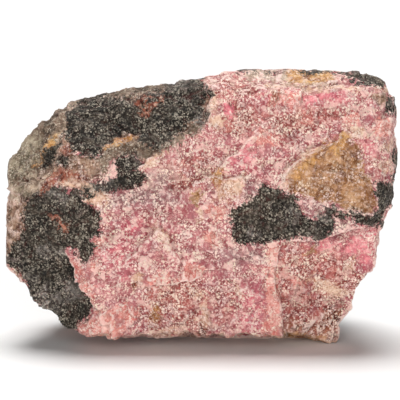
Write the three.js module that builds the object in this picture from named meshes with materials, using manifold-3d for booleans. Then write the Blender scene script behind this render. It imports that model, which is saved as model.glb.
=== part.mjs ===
// A rough piece of rhodonite: a blocky broken stone of pink grains with black oxide, which lies on
// its flattened underside. Millimetres, +X to the right, +Y to the back, +Z up.
// The stone is one body. Broken faces, the outline and the scars of lost chips give its form, rays
// from a small core find its skin, and ledges, hollows and small tilted shards roughen that skin.
import * as THREE from "three";
import { mergeVertices } from "three/addons/utils/BufferGeometryUtils.js";
import Module from "manifold-3d";

// Driving dimensions
const MIDDLE = new THREE.Vector3(0, 0, 34); // middle of the stone over its resting face
const HALF_SIZE = new THREE.Vector3(49, 28, 34);
const CORE = new THREE.Vector3(27, 7, 13); // half size of the box inside, from which the rays start
const CELLS = [40, 19, 27]; // cells of the skin along x, y and z
const EDGE_CRISPNESS = 3; // per mm: a larger number gives sharper edges between the faces
const SCAR_CRISPNESS = 4.5;
const FILLING = 0.25; // the skin stands this far outside the rounded faces
const LEDGE_WALL = 2; // width over which a ledge drops
const STRAY = [0.9, 0.5]; // how far the ledges stray from their lines, over the two spans below
const STRAY_SPAN = [2.6, 1.1];
const SHARD_SIZES = [17, 7.5]; // the small tilted faces
const SHARD_HEIGHTS = [1.5, 0.9];
const SHARD_TIGHTNESS = 9;
const CALM_GROUND = 2; // the small tilted faces are flatter up to this height

// The front is looked at from 8 degrees above and 569 mm away.
const VIEW_DROP = THREE.MathUtils.degToRad(8);
const VIEW_DISTANCE = 569;

// Broken faces: bearing (0 front, 90 right, 180 back), upward tilt, and a point on each
const FACES = {
  front: [-1, 2, [0, -25.6, 36]],
  frontHigh: [4, 13, [22, -24.4, 53]],
  frontLow: [2, -12, [0, -25.8, 17]],
  frontLeft: [-24, -6, [-28, -25, 28]],
  leftFront: [-48, 3, [-44.6, -18, 32]],
  left: [-84, -3, [-49.6, -10, 24]],
  leftBack: [-116, 3, [-49.6, 2, 26]],
  leftShoulder: [-46, 26, [-34.5, -21.6, 43]],
  leftBrow: [-34, 60, [-36, -7, 58]],
  brow: [-7, 27, [-18, -24.8, 48]],
  topFront: [2, 75, [30, -21.5, 62.6]],
  topLeft: [-104, 77, [-22, -6, 63.6]],
  top: [176, 75, [30, -7, 68.6]],
  topRight: [66, 42, [47.2, -11, 62.6]],
  rightFront: [58, 3, [46.4, -18, 46]],
  right: [100, 1, [49.6, -8, 46]],
  rightBack: [128, -4, [46, 8, 40]],
  rightLow: [104, -16, [47.6, -4, 34]],
  underLeft: [-112, -44, [-41, -2, 10]],
  underFront: [-2, -66, [0, -22, 3.9]],
  back: [172, 6, [0, 26.5, 36]],
  backLeft: [-142, -6, [-32, 20, 30]],
  backRight: [140, 6, [34, 21, 36]],
  backHigh: [198, 40, [-6, 20, 54]],
  backSlope: [160, 58, [20, 14, 61]],
  backUnder: [176, -50, [0, 20, 7]],
};

// The outline from the front: right of the middle and above it
const OUTLINE = [
  [-49.2, -11.2], [-49.3, -15.6], [-48.4, -17.8], [-45.9, -19.9], [-43.7, -21.9], [-41.4, -25],
  [-39.8, -26.2], [-37.2, -27.2], [-34.5, -30.1], [-32.8, -31.8], [-29, -33.5], [-25, -37.5],
  [-20.5, -46.2], [29.5, -46.2], [35.5, -38], [37, -36.2], [37.8, -33.6], [37.4, -32.2], [38.9, -30.5],
  [39.8, -28], [39.7, -24.8], [39.8, -22.2], [42.3, -18.2], [43.2, -13.8], [43.9, -10], [44.8, -7],
  [46.1, -3.5], [47.4, 0.2], [47.8, 3.5], [49.1, 8.5], [48.8, 13.8], [48.5, 17.5], [49, 22],
  [48.6, 25], [47, 26.3], [46.2, 28], [44.8, 29.8], [43, 31.2], [36.2, 32.8], [30, 33.5],
  [25, 33.9], [14, 33.9], [10.8, 33.5], [6.5, 31.9], [1.8, 30.5], [-2.8, 30.2], [-5.5, 29.3],
  [-8, 28.6], [-12.5, 28.1], [-15, 27.4], [-20.8, 27.1], [-25.5, 25.7], [-29.5, 24.8], [-32.2, 24.6],
  [-36.2, 22.1], [-37.6, 20], [-39, 18.9], [-41.8, 18.1], [-45, 14.6], [-46.8, 11.4], [-48.4, 9.4],
  [-48.8, 6.8], [-48.3, 5.2], [-47.7, 3.9], [-48.2, 0], [-48.9, -3.8],
];
// How fast the outline draws in before and behind the widest line, mm per mm
const TAPER_FRONT = 0.12;
const TAPER_BACK = 0.34;

// Scars of lost chips: the side they are on, their floor as a face, the steepness of their walls,
// and their edge as it is seen from that side
const SCARS = {
  step: {
    side: "front", floor: [16, -18, [20, -25.3, 28]], steepness: 2,
    edge: [[19.8, -50], [20.2, -32.5], [20.5, -29], [19.8, -25], [19, -20], [19.2, -15.5], [20.5, -10.8],
      [24, -9.5], [30, -9.5], [36.2, -7.8], [44, -6.2], [55, -5.5], [55, -50]],
  },
  brow: {
    side: "front", floor: [-7, 33, [-14, -25.4, 47.5]], steepness: 1.2,
    edge: [[0.5, 37.5], [0.2, 30.5], [1.2, 27.5], [3, 25.2], [1.8, 22], [1.5, 19.5], [-1, 17.8],
      [-4.5, 16.5], [-5.8, 14.5], [-9.2, 12.5], [-12.5, 10.8], [-15.5, 8.5], [-35, 10], [-40, 40]],
  },
  honeyFlake: {
    side: "front", floor: [3, 9, [28, -24.9, 42]], steepness: 1.2,
    edge: [[21, 1.8], [20.2, 4], [20.8, 7], [22.8, 9], [25.8, 10.8], [29.5, 12.2], [32.5, 13.8],
      [35.5, 15.8], [39, 15.5], [40.8, 12.5], [40.2, 8], [42, 5], [43.5, 1.2], [44.5, -3], [40, -3.5],
      [35, -2.2], [27.5, 0]],
  },
  underLip: {
    side: "front", floor: [0, -25, [0, -5, 1]], steepness: 3,
    edge: [[-35, -55], [-35, -32.2], [-30.5, -31.7], [-28.5, -32.1], [-26.5, -32.6], [-22, -33.3],
      [-15, -33.8], [-10, -33.9], [-6, -34], [-2.5, -33.5], [0, -34], [1.5, -34.1], [3.2, -33.4],
      [6.5, -33.2], [11.2, -32.5], [14.5, -33.1], [17, -32.8], [19.2, -33.9], [20.5, -33.3], [21.5, -32.8],
      [26, -33.9], [30, -34.9], [33.4, -35.7], [34.2, -37], [34.5, -55]],
  },
  backChip: {
    side: "back", floor: [164, 24, [-6, 23, 50]], steepness: 1.2,
    edge: [[-60, -6], [-38, -2], [-24, 10], [-10, 8], [2, 13], [14, 6], [26, 12], [30, 50], [-60, 50]],
  },
  backStep: {
    side: "back", floor: [188, -9, [-14, 23.6, 20]], steepness: 1.5,
    edge: [[-6, -40], [-3, -24], [4, -12], [0, -2], [14, 3], [30, -3], [44, -8], [44, -40]],
  },
  rightChip: {
    side: "right", floor: [100, 18, [46.2, 4, 50]], steepness: 1.3,
    edge: [[-4, 9], [4, 4], [12, 8], [22, 2], [34, 6], [34, 34], [-2, 34], [2, 20]],
  },
  leftChip: {
    side: "left", floor: [-104, -10, [-46, 6, 24]], steepness: 1.4,
    edge: [[-26, -6], [-14, 2], [-4, -4], [3, -16], [2, -34], [-26, -34]],
  },
};
const SCAR_FRONT_REACH = 15; // front scars may run this far behind the widest line

// Ledges: side, height, how far they fade out, and the line that they follow with the raised
// ground on its left hand
const LEDGES = {
  wedgeLip: ["front", 1.6, 6, [[-34.5, 14.8], [-37, 12.5], [-39.5, 10.8], [-41, 8.8]]],
  shoulderRidge: ["front", 0.9, 4, [[-33, 22.5], [-33.6, 18.5], [-34, 15.5], [-33.7, 14], [-34.5, 11],
    [-35.8, 8.5], [-37.8, 6.2], [-39.2, 4.2]]],
  leftCap: ["front", 1, 7, [[-40, 4.8], [-43.5, 4.2], [-46.5, 3.5], [-48, 3.8]]],
  browStreak: ["front", 0.9, 4, [[-15.2, 16.8], [-18.5, 15.8], [-21.5, 14.2], [-23.2, 12.8]]],
  band: ["front", 0.7, 5, [[-21.5, 12.5], [-24, 10.5], [-27.5, 10.5], [-31, 11.2], [-33.5, 10]]],
  browBorder: ["front", 0.8, 4, [[1.8, 22], [1.5, 19.5], [-1, 17.8], [-4.5, 16.5], [-5.8, 14.5],
    [-9.2, 12.5], [-12.5, 10.8], [-15.5, 8.2]]],
  honeyRim: ["front", 1.1, 3.5, [[35.5, 16], [32.5, 14], [29.5, 12.5], [25.8, 11.2], [22.8, 9.5],
    [20.8, 7.2], [20.2, 4], [21, 1.8]]],
  honeyRidge: ["front", 0.6, 2.5, [[34, 5.8], [30.5, 7], [28.5, 8.5], [27.8, 11]]],
  lumpCrest: ["front", 1.3, 6, [[-4.8, -15.8], [-5.8, -14], [-7.2, -11.2], [-8.2, -8.8], [-9.2, -7],
    [-11.2, -6.8], [-12.5, -7.8], [-14.5, -11.2], [-17.2, -14.2]]],
  flake: ["front", 1.6, 4, [[-4.5, -15.8], [-4.2, -17.5], [-5.5, -19.2], [-3.5, -20.2], [-1.8, -20.5],
    [0.2, -19.2], [2.5, -18.2]]],
  belowFlake: ["front", 1, 6, [[-13, -22], [-10.5, -21.5], [-7.5, -21], [-5, -20.8]]],
  leftStrip: ["front", 1.6, 6, [[-34.5, -12.5], [-33, -15.8], [-30.2, -20.5], [-28, -23], [-25.8, -25.5]]],
  footLobe: ["front", 1, 5, [[-23, -27], [-25, -27.8], [-27.5, -29], [-30.5, -30.8]]],
  lowLump: ["front", 0.9, 4, [[-15, -28.5], [-18, -26], [-20.5, -26.2], [-21.8, -29.2], [-22.5, -32.8]]],
  middleRidge: ["front", 1, 6, [[13, -19], [10, -20], [9, -22.5], [10, -26], [8, -29.5], [6.2, -32.5]]],
  highCrest: ["front", 1.3, 7, [[18.5, 23.5], [17, 20.5], [15, 17.5], [12.5, 15], [10, 13.2], [7.5, 11.2],
    [5.2, 8.8]]],
  paleLump: ["front", 0.9, 4, [[40.8, 18.2], [39.8, 20.2], [37.8, 22], [35.8, 21.8], [33.8, 19.8]]],
  rightLump: ["front", 0.9, 4, [[48.2, 20.2], [45.8, 20.5], [44, 18.8], [42.8, 15.5]]],
  shelf: ["front", 1, 6, [[17.5, 20.8], [20.8, 21], [23, 21.2], [24.8, 23], [25.2, 25.8]]],
  topSeam: ["front", 0.6, 2.5, [[2.5, 29.5], [8, 29], [11.5, 28.8], [18.8, 27.5], [25, 27.5], [30, 27.5],
    [36.2, 26.5], [42.5, 26.2], [48, 25.5]]],
  topSeamBack: ["front", 0.5, 2.5, [[10, 32.2], [15.5, 30.2], [21.2, 30], [26.2, 29], [32.5, 28.8],
    [37, 30], [41.2, 28.5], [46.2, 28]]],
  creamLedge: ["front", 1, 5, [[32, -26], [33.2, -24.2], [35.5, -22.5], [38.5, -21.2]]],
  creamStep: ["front", 0.8, 4, [[25, -22], [27.5, -21], [29, -22.2], [32, -23.2]]],
  footLip: ["front", 0.8, 1.6, [[34.6, -34.6], [32.5, -34.2], [29, -33.4], [25.8, -32.6], [23, -31.9]]],
  whiteChip: ["front", 0.8, 4, [[-41, -24.2], [-39, -23.2], [-37, -24.2], [-35, -26.5]]],
  leftCrumple: ["front", 0.7, 4, [[-40.5, 0.5], [-37.5, -2.2], [-35, -6.5]]],
  vein: ["front", 0.7, 4, [[43.5, -14], [42.2, -11.8], [40, -9.5], [38, -8.8], [36, -10.2]]],
  middleLump: ["front", 0.8, 4, [[4.2, -9], [4, -11.5], [1.8, -14.2], [0, -12.5]]],
  creamPatch: ["front", 0.8, 5, [[11.5, 3.5], [10, 5.5], [6.5, 4.8], [3.5, 6.5], [1.5, 6]]],
  backRib: ["back", 1.2, 6, [[-38, -8], [-22, -2], [-12, -12], [4, -8], [10, -20]]],
  backRibHigh: ["back", 1, 5, [[34, 12], [24, 20], [10, 17], [0, 24], [-12, 22]]],
  backRibLow: ["back", 1.1, 6, [[20, -26], [10, -16], [-4, -22], [-18, -18], [-28, -24]]],
  rightRib: ["right", 1.1, 5, [[-16, -14], [-4, -6], [8, -12], [20, -4]]],
  rightRibHigh: ["right", 0.9, 5, [[22, 22], [10, 16], [0, 22], [-10, 14]]],
  leftRib: ["left", 1, 5, [[-20, 8], [-8, 2], [4, 9], [14, 4]]],
};
const LOW_SIDE_SHARE = 0.3; // the ground beside a ledge sinks by this share of its height

// Hollows in the front: depth, radius, place
const HOLLOWS = {
  blackPit: [2.4, 5.2, [-37, -17.8]],
  wedge: [1.6, 2.6, [-37.8, 9.8]],
  stepHead: [1.2, 2, [21, -12.2]],
  highLeft: [1.1, 3.4, [9, 18.2]],
  highMiddle: [1.2, 3.6, [14.5, 22]],
  belowFlake: [1.1, 4, [-7, -23]],
  besideHoney: [0.9, 3, [19, 12]],
  behindCrest: [0.8, 3.5, [-15, -9]],
  honey: [1, 4, [37.5, 12.5]],
  lowRight: [0.9, 3, [25.8, -25]],
  leftPit: [0.7, 0.7, [-46.5, -2.2]],
  leftPitMiddle: [0.8, 0.8, [-46.2, -6.8]],
  leftPitLow: [0.7, 0.8, [-46, -9.8]],
  blackFoot: [0.9, 4, [-30.5, -26.2]],
  blackPatch: [0.8, 4.5, [15, -6.2]],
};

const smooth = (t) => THREE.MathUtils.smoothstep(t, 0, 1);

// A face's outward direction from its bearing and upward tilt in degrees.
function outward([bearing, tilt]) {
  const turn = THREE.MathUtils.degToRad(bearing);
  const lift = THREE.MathUtils.degToRad(tilt);
  return new THREE.Vector3(
    Math.sin(turn) * Math.cos(lift),
    -Math.cos(turn) * Math.cos(lift),
    Math.sin(lift),
  );
}

const planeOf = (face) =>
  new THREE.Plane().setFromNormalAndCoplanarPoint(outward(face), new THREE.Vector3(...face[2]));
const facePlanes = Object.values(FACES).map(planeOf);
const scars = Object.values(SCARS).map((scar) => ({ ...scar, plane: planeOf(scar.floor) }));

// Where a point stands from the front: right of the middle and above it.
function fromFront(p) {
  const up = p.z - MIDDLE.z;
  const away = p.y * Math.cos(VIEW_DROP) - up * Math.sin(VIEW_DROP);
  const scale = VIEW_DISTANCE / (VIEW_DISTANCE + away);
  return [p.x * scale, (p.y * Math.sin(VIEW_DROP) + up * Math.cos(VIEW_DROP)) * scale];
}

// The same for any side.
function fromSide(p, side) {
  if (side === "front") return fromFront(p);
  const across = { back: -p.x, right: p.y, left: -p.y }[side];
  return [across, p.z - MIDDLE.z];
}

// Depth of the stone's widest line: further forward at the bottom than at the top.
function widestDepth([across, up]) {
  const turn = Math.atan2(up, across);
  return -13 + 8 * Math.sin(turn) + 1.5 * Math.sin(3 * turn + 1);
}

// How far a point lies towards a side.
function towards(p, side) {
  if (side === "front") return widestDepth(fromFront(p)) - p.y;
  return { back: p.y - 4, right: p.x - 30, left: -30 - p.x }[side];
}

// Distance from a place to a piece of line, and how far it lies to the left of it.
function fromPiece([x, y], [ax, ay], [bx, by]) {
  const [ex, ey, wx, wy] = [bx - ax, by - ay, x - ax, y - ay];
  const length = Math.hypot(ex, ey);
  const t = THREE.MathUtils.clamp((wx * ex + wy * ey) / length ** 2, 0, 1);
  return {
    distance: Math.hypot(wx - t * ex, wy - t * ey),
    left: (ex * wy - ey * wx) / length,
  };
}

// How deep a place lies inside a closed line, less than nothing outside it.
function depthInside(place, line) {
  let nearest = Infinity;
  let within = false;
  line.forEach((b, i) => {
    const a = line.at(i - 1);
    nearest = Math.min(nearest, fromPiece(place, a, b).distance);
    const crosses = a[1] <= place[1] !== b[1] <= place[1];
    const crossing = a[0] + ((place[1] - a[1]) * (b[0] - a[0])) / (b[1] - a[1]);
    if (crosses && place[0] < crossing) within = !within;
  });
  return within ? nearest : -nearest;
}

// The larger of some values, with a rounded passage between them.
function smoothMax(values, crispness) {
  const most = Math.max(...values);
  const sum = values.reduce((total, v) => total + Math.exp(crispness * (v - most)), 0);
  return most + Math.log(sum) / crispness;
}

// How far a point lies outside the stone's broken form, before its skin is roughened.
function outside(p) {
  const place = fromFront(p);
  const behind = p.y - widestDepth(place);
  const draw = Math.abs(behind) * (behind > 0 ? TAPER_BACK : TAPER_FRONT);
  const distances = facePlanes.map((plane) => plane.distanceToPoint(p));
  distances.push(draw - depthInside(place, OUTLINE));
  let distance = smoothMax(distances, EDGE_CRISPNESS);
  for (const { side, edge, steepness, plane } of scars) {
    const reach = towards(p, side) + (side === "front" ? SCAR_FRONT_REACH : 0);
    const wall = steepness * depthInside(fromSide(p, side), edge);
    const gone = Math.min(wall, plane.distanceToPoint(p), reach);
    distance = smoothMax([distance, gone], SCAR_CRISPNESS);
  }
  return distance - FILLING;
}

// A fixed number between 0 and 1 for each cell of space.
function chance(i, j, k, seed) {
  let h = Math.imul(i, 374761393) + Math.imul(j, 668265263);
  h = (h + Math.imul(k, 2246822519) + Math.imul(seed, 3266489917)) | 0;
  h = Math.imul(h ^ (h >>> 15), 2246822519);
  h = Math.imul(h ^ (h >>> 13), 3266489917);
  return ((h ^ (h >>> 16)) >>> 0) / 4294967296;
}

// Soft hills and dales between -1 and 1.
function wander(p, span, seed) {
  const q = p.clone().divideScalar(span);
  const cell = q.clone().floor();
  const f = q.clone().sub(cell).toArray().map(smooth);
  let total = 0;
  for (const [dx, dy, dz] of corners([0, 1])) {
    const weight = (dx ? f[0] : 1 - f[0]) * (dy ? f[1] : 1 - f[1]) * (dz ? f[2] : 1 - f[2]);
    total += weight * chance(cell.x + dx, cell.y + dy, cell.z + dz, seed);
  }
  return 2 * total - 1;
}

// Small tilted faces, one to a cell of space, which meet at ridges and short steps.
function shards(p, size, seed) {
  const q = p.clone().divideScalar(size);
  const cell = q.clone().floor();
  let height = 0;
  let total = 0;
  for (const [dx, dy, dz] of corners([-1, 0, 1])) {
    const [i, j, k] = [cell.x + dx, cell.y + dy, cell.z + dz];
    const draw = (n) => chance(i, j, k, seed + n);
    const offset = new THREE.Vector3(q.x - i - draw(0), q.y - j - draw(1), q.z - k - draw(2));
    const tilt = new THREE.Vector3(draw(3), draw(4), draw(5)).multiplyScalar(2).subScalar(1);
    const weight = Math.exp(-SHARD_TIGHTNESS * offset.lengthSq());
    height += weight * (1.2 * offset.dot(tilt) + draw(6) - 0.5);
    total += weight;
  }
  return height / total;
}

// All triples of some steps.
function corners(steps) {
  return steps.flatMap((x) => steps.flatMap((y) => steps.map((z) => [x, y, z])));
}

// Height of a ledge at a place: a steep drop on its line, and a long fade on its raised side.
function ledgeHeight(place, [, height, fade, line]) {
  let near = { distance: Infinity, left: 0 };
  for (let i = 1; i < line.length; i++) {
    const piece = fromPiece(place, line[i - 1], line[i]);
    if (piece.distance < near.distance) near = piece;
  }
  const pastEnd = Math.max(near.distance ** 2 - near.left ** 2, 0);
  const raised = smooth(0.5 + near.left / LEDGE_WALL);
  const upper = raised * Math.exp(-near.distance / fade);
  const lower = LOW_SIDE_SHARE * (1 - raised) * Math.exp((-2 * near.distance) / fade);
  return height * Math.exp((-4 * pastEnd) / fade ** 2) * (upper - lower);
}

// How far the skin stands off the broken form at a point of it. Along the outline and near the
// ground it is calm.
function roughness(p) {
  const place = fromFront(p);
  const inner = depthInside(place, OUTLINE);
  const calm = Math.min(smooth(inner / 3), smooth((p.z - CALM_GROUND) / 4));
  let height = 0;
  SHARD_SIZES.forEach((size, n) => {
    height += SHARD_HEIGHTS[n] * shards(p, size, 11 + 10 * n) * (0.25 + 0.75 * calm);
  });
  const stray = [0, 1].map((axis) =>
    STRAY.reduce((sum, far, n) => sum + far * wander(p, STRAY_SPAN[n], 51 + axis + 2 * n), 0),
  );
  let placed = 0;
  for (const ledge of Object.values(LEDGES)) {
    const [across, up] = fromSide(p, ledge[0]);
    const here = ledgeHeight([across + stray[0], up + stray[1]], ledge);
    if (ledge[0] === "front") placed += here;
    else height += here * smooth(0.5 + towards(p, ledge[0]) / 8);
  }
  for (const [depth, radius, [across, up]] of Object.values(HOLLOWS)) {
    const distance = Math.hypot(place[0] - across, place[1] - up);
    placed -= depth * Math.exp(-((distance / radius) ** 2));
  }
  const onFront = smooth(0.5 + towards(p, "front") / 5);
  return height + placed * onFront * (0.3 + 0.7 * smooth(inner / 1.5));
}

// A point of the skin for a place on the box of cells, whose sides run from -1 to 1.
function skinPoint(place) {
  const start = CORE.clone().multiply(place).add(MIDDLE);
  const way = HALF_SIZE.clone().sub(CORE).multiply(place).normalize();
  const at = (far) => start.clone().addScaledVector(way, far);
  let [low, high] = [4, 80];
  for (let i = 0; i < 24; i++) {
    const middle = (low + high) / 2;
    if (outside(at(middle)) > 0) high = middle;
    else low = middle;
  }
  const slope = (outside(at(low + 0.4)) - outside(at(low - 0.4))) / 0.8;
  return at(low + roughness(at(low)) / THREE.MathUtils.clamp(slope, 0.5, 1));
}

// The skin: each side of the box of cells is a net of squares, and each square is split along the
// diagonal that runs nearer to the true skin.
function stoneSkin() {
  const points = new Map();
  const numbered = (cell) => {
    const key = cell.join();
    if (!points.has(key)) {
      const place = new THREE.Vector3(...cell.map((n, axis) => (2 * n) / CELLS[axis] - 1));
      points.set(key, { index: points.size, point: skinPoint(place) });
    }
    return points.get(key);
  };
  const midGap = (a, b, centre) =>
    a.point.clone().add(b.point).multiplyScalar(0.5).distanceTo(centre);
  const triangles = [];
  for (const fixed of [0, 1, 2]) {
    const [u, v] = [(fixed + 1) % 3, (fixed + 2) % 3];
    for (const end of [0, CELLS[fixed]]) {
      for (let i = 0; i < CELLS[u]; i++) {
        for (let j = 0; j < CELLS[v]; j++) {
          const square = [[0, 0], [1, 0], [1, 1], [0, 1]].map(([di, dj]) => {
            const cell = [0, 0, 0];
            [cell[fixed], cell[u], cell[v]] = [end, i + di, j + dj];
            return numbered(cell);
          });
          if (end === 0) square.reverse();
          const place = new THREE.Vector3();
          place.setComponent(fixed, end === 0 ? -1 : 1);
          place.setComponent(u, (2 * i + 1) / CELLS[u] - 1);
          place.setComponent(v, (2 * j + 1) / CELLS[v] - 1);
          const centre = skinPoint(place);
          const [a, b, c, d] = square;
          const alongAC = midGap(a, c, centre) < midGap(b, d, centre);
          const split = alongAC ? [a, b, c, a, c, d] : [b, c, d, b, d, a];
          triangles.push(...split.map((corner) => corner.index));
        }
      }
    }
  }
  const geometry = new THREE.BufferGeometry();
  geometry.setFromPoints([...points.values()].map(({ point }) => point));
  geometry.setIndex(triangles);
  return geometry;
}

const wasm = await Module();
wasm.setup();

// A closed geometry as a solid.
function solid(geometry) {
  geometry.deleteAttribute("normal");
  geometry.deleteAttribute("uv");
  const merged = mergeVertices(geometry, 1e-4);
  const mesh = new wasm.Mesh({
    numProp: 3,
    vertProperties: merged.attributes.position.array,
    triVerts: new Uint32Array(merged.index.array),
  });
  return new wasm.Manifold(mesh);
}

// A solid as a geometry whose broken faces show.
function faceted(body) {
  const { vertProperties, triVerts } = body.getMesh();
  const geometry = new THREE.BufferGeometry();
  geometry.setAttribute("position", new THREE.BufferAttribute(vertProperties, 3));
  geometry.setIndex([...triVerts]);
  const flat = geometry.toNonIndexed();
  flat.computeVertexNormals();
  return flat;
}

// The ground plane takes off whatever hangs lower, which leaves the flat that the stone rests on.
const ground = new THREE.BoxGeometry(400, 400, 60).translate(0, 0, -30);
const form = faceted(solid(stoneSkin()).subtract(solid(ground)));

// The origin comes under the middle of the stone.
form.computeBoundingBox();
const { x, y } = form.boundingBox.getCenter(new THREE.Vector3());
form.translate(-x, -y, 0);

const stone = new THREE.Mesh(
  form,
  new THREE.MeshStandardMaterial({ color: 0xc48a82, roughness: 0.72, metalness: 0, flatShading: true }),
);
stone.name = "rhodonite";

const part = new THREE.Group();
part.name = "rough_rhodonite";
part.add(stone);

export default part;
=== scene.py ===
import bpy
import numpy as np
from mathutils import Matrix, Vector


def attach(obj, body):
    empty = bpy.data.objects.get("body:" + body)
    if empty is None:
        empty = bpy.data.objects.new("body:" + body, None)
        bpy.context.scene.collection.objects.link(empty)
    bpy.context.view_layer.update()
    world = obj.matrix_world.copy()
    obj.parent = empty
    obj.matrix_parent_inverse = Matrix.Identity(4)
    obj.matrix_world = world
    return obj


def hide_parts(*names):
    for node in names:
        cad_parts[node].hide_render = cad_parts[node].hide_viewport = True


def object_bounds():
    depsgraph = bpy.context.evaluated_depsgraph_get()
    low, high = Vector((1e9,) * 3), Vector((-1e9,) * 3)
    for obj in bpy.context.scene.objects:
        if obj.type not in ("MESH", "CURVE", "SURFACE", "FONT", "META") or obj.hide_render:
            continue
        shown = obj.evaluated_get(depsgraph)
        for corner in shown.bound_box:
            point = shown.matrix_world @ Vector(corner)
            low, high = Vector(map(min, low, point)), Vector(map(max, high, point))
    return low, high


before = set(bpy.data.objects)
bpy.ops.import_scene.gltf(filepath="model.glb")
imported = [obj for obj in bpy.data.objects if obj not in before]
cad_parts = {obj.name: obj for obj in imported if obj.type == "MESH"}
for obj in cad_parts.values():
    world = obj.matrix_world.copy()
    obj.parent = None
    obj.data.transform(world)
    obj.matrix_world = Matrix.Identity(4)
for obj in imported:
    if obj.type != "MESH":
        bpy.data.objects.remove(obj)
solid_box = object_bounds()

# Driving values of the form, in mm, as the solid has them
MIDDLE = np.array([0.0, 0.0, 34.0])  # middle of the stone over its resting face
HALF_SIZE = np.array([49.0, 28.0, 34.0])
CORE = np.array([27.0, 7.0, 13.0])  # half size of the box inside, from which the rays start
EDGE_CRISPNESS = 3
SCAR_CRISPNESS = 4.5
FILLING = 0.25  # the form is fuller by this, which makes up for its rounded edges
LEDGE_WALL = 0.9  # width of a ledge's steep drop
LOW_SIDE_SHARE = 0.3  # a ledge's low side is sunk by this share of its height
STRAY = [(0.9, 2.6), (0.5, 1.1)]  # how far the ledges stray from their lines, and over which span
SHARDS = [  # size, height, seed and tightness of the small tilted faces
    (17, 1.5, 11, 9),
    (7.5, 0.9, 21, 9),
]
FINE_SHARDS = [(3.2, 0.5, 31, 14), (1.6, 0.28, 41, 18), (0.8, 0.14, 61, 20)]
SHARD_TILT = 1.2
FLAKES = [(11, 0.5, 101, 2.2), (5, 0.3, 111, 2.2)]  # span, height, seed and number of levels
FLAKE_HILLS = [(0.7, 1), (0.3, 0.4)]  # the hills under the flakes: share, and part of the span
FLAKE_WALL = 0.14  # share of a shelf on which it rises
FLAKE_SINK = 0.4  # evens out how far the shelves stand out and sink in
CALM_EDGE = 3  # the larger shards are flatter this near the outline
CALM_GROUND = 2  # and up to this height, with a passage above it
CALM_RISE = 4
CALM_SHARE = 0.25  # what is left of them there
FRONT_FADE = 5  # passages at the edges of the front, of the other sides and of the outline
SIDE_FADE = 8
OUTLINE_FADE = 1.5
OUTLINE_SHARE = 0.3  # what is left of ledges and hollows at the outline
VIEW_DROP = np.radians(8)  # how far the camera looks down
VIEW_DISTANCE = 569  # from the camera to the middle of the stone
CENTRE = np.array([0.484, 0.643, 0.0])  # where the middle of the solid's box is in this form
FRONT_REACH = 15  # front scars may run this far behind the widest line
TAPER_FRONT = 0.12  # the outline is drawn in by these shares of the way from the widest line
TAPER_BACK = 0.34
WIDEST_DEPTH = -13
WIDEST_WAVES = [(8, 1, 0), (1.5, 3, 1)]  # height, number round the middle, and start
SIDE_STARTS = {"back": 4, "right": 30, "left": 30}  # how far out the other sides start
RAY_ENDS = (4.0, 80.0)
HALVINGS = 6
CUTS = 8
CUT_LIMITS = (0.08, 0.92)  # shares of the way left on a ray at which a cut may lie
SLOPE_STEP = 0.4
LEAST_SLOPE = 0.5

# Broken faces: bearing (0 front, 90 right, 180 back), upward tilt, and a point on each
FACES = {
    "front": (-1, 2, (0, -25.6, 36)),
    "front_high": (4, 13, (22, -24.4, 53)),
    "front_low": (2, -12, (0, -25.8, 17)),
    "front_left": (-24, -6, (-28, -25, 28)),
    "left_front": (-48, 3, (-44.6, -18, 32)),
    "left": (-84, -3, (-49.6, -10, 24)),
    "left_back": (-116, 3, (-49.6, 2, 26)),
    "left_shoulder": (-46, 26, (-34.5, -21.6, 43)),
    "left_brow": (-34, 60, (-36, -7, 58)),
    "brow": (-7, 27, (-18, -24.8, 48)),
    "top_front": (2, 75, (30, -21.5, 62.6)),
    "top_left": (-104, 77, (-22, -6, 63.6)),
    "top": (176, 75, (30, -7, 68.6)),
    "top_right": (66, 42, (47.2, -11, 62.6)),
    "right_front": (58, 3, (46.4, -18, 46)),
    "right": (100, 1, (49.6, -8, 46)),
    "right_back": (128, -4, (46, 8, 40)),
    "right_low": (104, -16, (47.6, -4, 34)),
    "under_left": (-112, -44, (-41, -2, 10)),
    "under_front": (-2, -66, (0, -22, 3.9)),
    "back": (172, 6, (0, 26.5, 36)),
    "back_left": (-142, -6, (-32, 20, 30)),
    "back_right": (140, 6, (34, 21, 36)),
    "back_high": (198, 40, (-6, 20, 54)),
    "back_slope": (160, 58, (20, 14, 61)),
    "back_under": (176, -50, (0, 20, 7)),
}

# The outline from the front: right of the middle and above it
OUTLINE = [
    (-49.2, -11.2), (-49.3, -15.6), (-48.4, -17.8), (-45.9, -19.9), (-43.7, -21.9), (-41.4, -25),
    (-39.8, -26.2), (-37.2, -27.2), (-34.5, -30.1), (-32.8, -31.8), (-29, -33.5), (-25, -37.5),
    (-20.5, -46.2), (29.5, -46.2), (35.5, -38), (37, -36.2), (37.8, -33.6), (37.4, -32.2),
    (38.9, -30.5), (39.8, -28), (39.7, -24.8), (39.8, -22.2), (42.3, -18.2), (43.2, -13.8),
    (43.9, -10), (44.8, -7), (46.1, -3.5), (47.4, 0.2), (47.8, 3.5), (49.1, 8.5), (48.8, 13.8),
    (48.5, 17.5), (49, 22), (48.6, 25), (47, 26.3), (46.2, 28), (44.8, 29.8), (43, 31.2),
    (36.2, 32.8), (30, 33.5), (25, 33.9), (14, 33.9), (10.8, 33.5), (6.5, 31.9), (1.8, 30.5),
    (-2.8, 30.2), (-5.5, 29.3), (-8, 28.6), (-12.5, 28.1), (-15, 27.4), (-20.8, 27.1),
    (-25.5, 25.7), (-29.5, 24.8), (-32.2, 24.6), (-36.2, 22.1), (-37.6, 20), (-39, 18.9),
    (-41.8, 18.1), (-45, 14.6), (-46.8, 11.4), (-48.4, 9.4), (-48.8, 6.8), (-48.3, 5.2),
    (-47.7, 3.9), (-48.2, 0), (-48.9, -3.8),
]

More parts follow.
